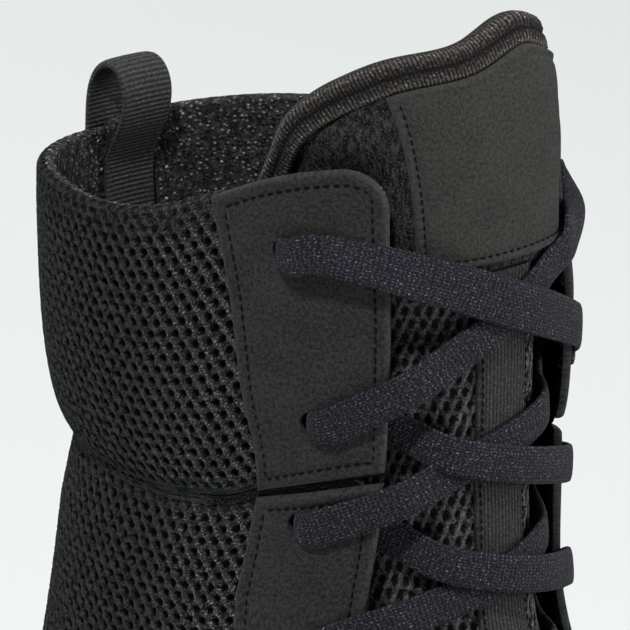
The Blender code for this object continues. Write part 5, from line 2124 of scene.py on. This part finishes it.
@dataclass
class Sole(SubAssembly):
    """The moulded outsole with its rim, ribs and tread, and the insole on it."""

    insole_thick: float = 4.0
    insole_inset: float = 5.4
    around: int = 420
    tread_strips: int = 40
    plain_strips: int = 8
    rib_deep: float = 0.35
    groove_x: tuple[float, ...] = (24, 42, 60, 163, 180, 197)
    groove_wide: float = 3.0
    groove_deep: float = 1.4
    gap: float = 0.3

    def __post_init__(self) -> None:
        """Works out the rim's splines."""
        self.rim = columns_of(RIM)

    def build(self) -> None:
        """Makes the outsole and the insole."""
        turn = np.linspace(0, math.pi, 900)
        x = HEEL_X + (TOE_X - HEEL_X) * (1 - np.cos(turn)) / 2
        outer, inner = (pair(x, LAST.middle(x) + side * LAST.foot_half(x, side)) for side in Side)
        whole = np.concatenate([outer, inner[::-1][1:]])
        run = lengths_along(whole)
        even = np.linspace(0, run[-1], self.around, endpoint=False)
        loop, is_outer = sampled(whole, run, even), even < run[len(outer) - 1]
        way = np.roll(loop, -1, axis=0) - np.roll(loop, 1, axis=0)
        out = unit(pair(way[:, 1], -way[:, 0]))
        self._outsole(loop, out, is_outer)
        self._insole(loop, out)

    def _outsole(self, loop: Array, out: Array, is_outer: Array) -> None:
        """Makes the outsole.

        Args:
            loop: places round the foot.
            out: directions out of it.
            is_outer: which places are on the outer side.
        """
        x = loop[:, 0]
        rim_out = np.where(is_outer, self.rim["outer"](x), self.rim["inner"](x))
        rim_rise = self.rim["rise"](x)
        edge = LAST.foot_edge(x)
        tread = np.interp(x, SOLE_BOTTOM["x"], SOLE_BOTTOM["z"])
        run = np.arange(len(loop)) * 2 * math.pi / 6
        ribs = self.rib_deep * (0.5 + 0.5 * np.cos(run))
        rings = [
            (0.6, tread), (1.6, tread + 0.35), (2.5, tread + 1.2), (2.9, tread + 2.4),
            (3.15 - ribs, tread + 2.8), (3.2 - ribs, edge - 2.0), (3.15, edge - 1.7), (2.75, edge - 1.25),
            (2.55, edge - 0.8), (2.4 + 0.5 * rim_out * 0.3, edge + 0.25 * rim_rise),
            (1.75 + 0.8 * rim_out, edge + 0.75 * rim_rise), (1.4 + rim_out, edge + rim_rise - 0.35),
            (1.1 + rim_out, edge + rim_rise), (0.35 + rim_out, edge + rim_rise),
            (0.0 + rim_out, edge + rim_rise - 0.3), (1.0, edge - self.gap),
        ]
        points = np.array([np.column_stack([loop + out * pair(far, far), height]) for far, height in rings])
        piece = Piece("outsole_rubber")
        layout = pair(np.arange(len(loop))[None, :] * 1.0, np.arange(len(rings))[:, None] * 1.0)
        piece.add_grid(points, layout, ring=True)
        self._fill(piece, points[0], below=True, grooved=True)
        self._fill(piece, points[-1], below=False)
        piece.finish([self.finishes.rubber], ["outsole"], weld=0.01)

    def _fill(self, piece: Piece, ring: Array, below: bool, grooved: bool = False) -> None:
        """Closes a ring with strips across the foot.

        Args:
            piece: the mesh.
            ring: the ring's points.
            below: whether it faces down.
            grooved: whether it has the tread's grooves.
        """
        count = len(ring)
        half = np.arange(count // 2 + 1)
        share = np.linspace(0, 1, (self.tread_strips if grooved else self.plain_strips) + 1)[None, :, None]
        across = ring[half][:, None] * (1 - share) + ring[-half % count][:, None] * share
        if grooved:
            lift = np.zeros(across.shape[:2])
            for groove in self.groove_x:
                near = np.abs(across[..., 0] - groove) / (self.groove_wide / 2)
                lift = np.maximum(lift, self.groove_deep * (1 - ease((near - 0.85) / 0.3)))
            across[..., 2] += lift * ease(np.minimum(share, 1 - share)[..., 0] * 40)
        piece.add_grid(across, across[..., :2], flip=not below)

    def _insole(self, loop: Array, out: Array) -> None:
        """Makes the insole, with a soft round edge.

        Args:
            loop: places round the foot.
            out: directions out of it.
        """
        edge = LAST.foot_edge(loop[:, 0])
        steps = ((0.0, 0.0), (0.0, 2.6), (0.3, 3.4), (0.9, 3.85), (1.8, self.insole_thick))
        insets = [loop - out * (self.insole_inset + far) for far, _ in steps]
        points = np.array([np.column_stack([row, edge + rise]) for row, (_, rise) in zip(insets, steps)])
        piece = Piece("insole_sock")
        piece.add_grid(points, points[..., :2], ring=True)
        self._fill(piece, points[0], below=True)
        self._fill(piece, points[-1], below=False)
        made = piece.finish([self.finishes.foam], ["insole"], weld=0.01)


@dataclass
class Studio:
    """The pale floor, the soft lights and the camera at the photograph's angle."""

    azimuth: float = 50.0
    elevation: float = 20.0
    distance: float = 1.4
    target: tuple[float, float, float] = (56.5, 5.4, 146.7)
    span: float = 108.6
    sensor: float = 36.0
    floor_half: float = 60.0
    floor_colour: Colour = (0.776, 0.81, 0.796)
    world_colour: Colour = (0.98, 1.0, 0.99)
    world_strength: float = 0.17

    def build(self) -> None:
        """Sets up the stage."""
        self._camera()
        self._floor()
        self._world()
        self._light("right", (1.1, 1.0, 0.6), 0.8, 15.5)
        self._light("left", (-1.4, -0.1, 0.9), 1.0, 7.5)
        self._light("key", (0.5, -0.85, 1.55), 0.16, 20.0)
        self._light("top", (-0.5, 0.45, 1.9), 1.4, 9.5)
        bpy.context.scene.view_settings.view_transform = "Standard"
        bpy.context.scene.view_settings.look = "None"

    def _camera(self) -> None:
        """Places the camera."""
        lens = bpy.data.cameras.new("camera")
        lens.sensor_width = self.sensor
        lens.lens = self.sensor * self.distance / (self.span * MM)
        lens.clip_start = 0.05
        lens.clip_end = 200.0
        camera = link("camera", lens)
        turn, rise = math.radians(self.azimuth), math.radians(self.elevation)
        back = Vector((math.sin(turn) * math.cos(rise), -math.cos(turn) * math.cos(rise), math.sin(rise)))
        camera.location = Vector(to_frame(np.array(self.target))) + back * self.distance
        camera.rotation_mode = "QUATERNION"
        camera.rotation_quaternion = (-back).to_track_quat("-Z", "Y")
        bpy.context.scene.camera = camera

    def _floor(self) -> None:
        """Lays the floor."""
        mesh = bpy.data.meshes.new("floor")
        far = self.floor_half
        corners = [(-far, -far, 0), (far, -far, 0), (far, far, 0), (-far, far, 0)]
        mesh.from_pydata(corners, [], [range(4)])
        floor = link("floor", mesh)
        graph = Graph("pale_floor")
        cloud = graph.noise(graph.place(), 3.0)
        pale = tuple(min(1.0, part * 1.01) for part in self.floor_colour)
        colour = graph.blend(cloud, self.floor_colour, pale)
        mesh.materials.append(graph.dress(base_color=colour, roughness=0.9, specular_ior_level=0.1))

    def _world(self) -> None:
        """Lights the whole room evenly."""
        world = bpy.data.worlds.new("room")
        world.use_nodes = True
        sky = world.node_tree.nodes["Background"]
        sky.inputs["Color"].default_value = (*self.world_colour, 1.0)
        sky.inputs["Strength"].default_value = self.world_strength
        bpy.context.scene.world = world

    @staticmethod
    def _light(name: str, place: Sequence[float], size: float, power: float) -> None:
        """Hangs a soft square light that faces the shoe.

        Args:
            name: its name.
            place: where it hangs.
            size: its side.
            power: its power.
        """
        lamp = bpy.data.lights.new(name, "AREA")
        lamp.size = size
        lamp.energy = power
        hung = link(name, lamp)
        hung.location = place
        hung.rotation_mode = "QUATERNION"
        hung.rotation_quaternion = (Vector((0, 0, 0.12)) - Vector(place)).to_track_quat("-Z", "Y")


def main() -> None:
    """Builds the shoe's looks, from the sole up."""
    logging.basicConfig(level=logging.INFO, format="%(message)s")
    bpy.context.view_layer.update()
    Studio().build()
    finishes = Finishes()
    Sole(finishes).build()
    Quarter(finishes, Side.OUTER, "quarter_lateral").build()
    Quarter(finishes, Side.INNER, "quarter_medial").build()
    for sub_assembly in (Cuff, Lining, Eyestays, Tongue, PullLoop, Lace):
        sub_assembly(finishes).build()


if __name__ == "__main__":
    main()
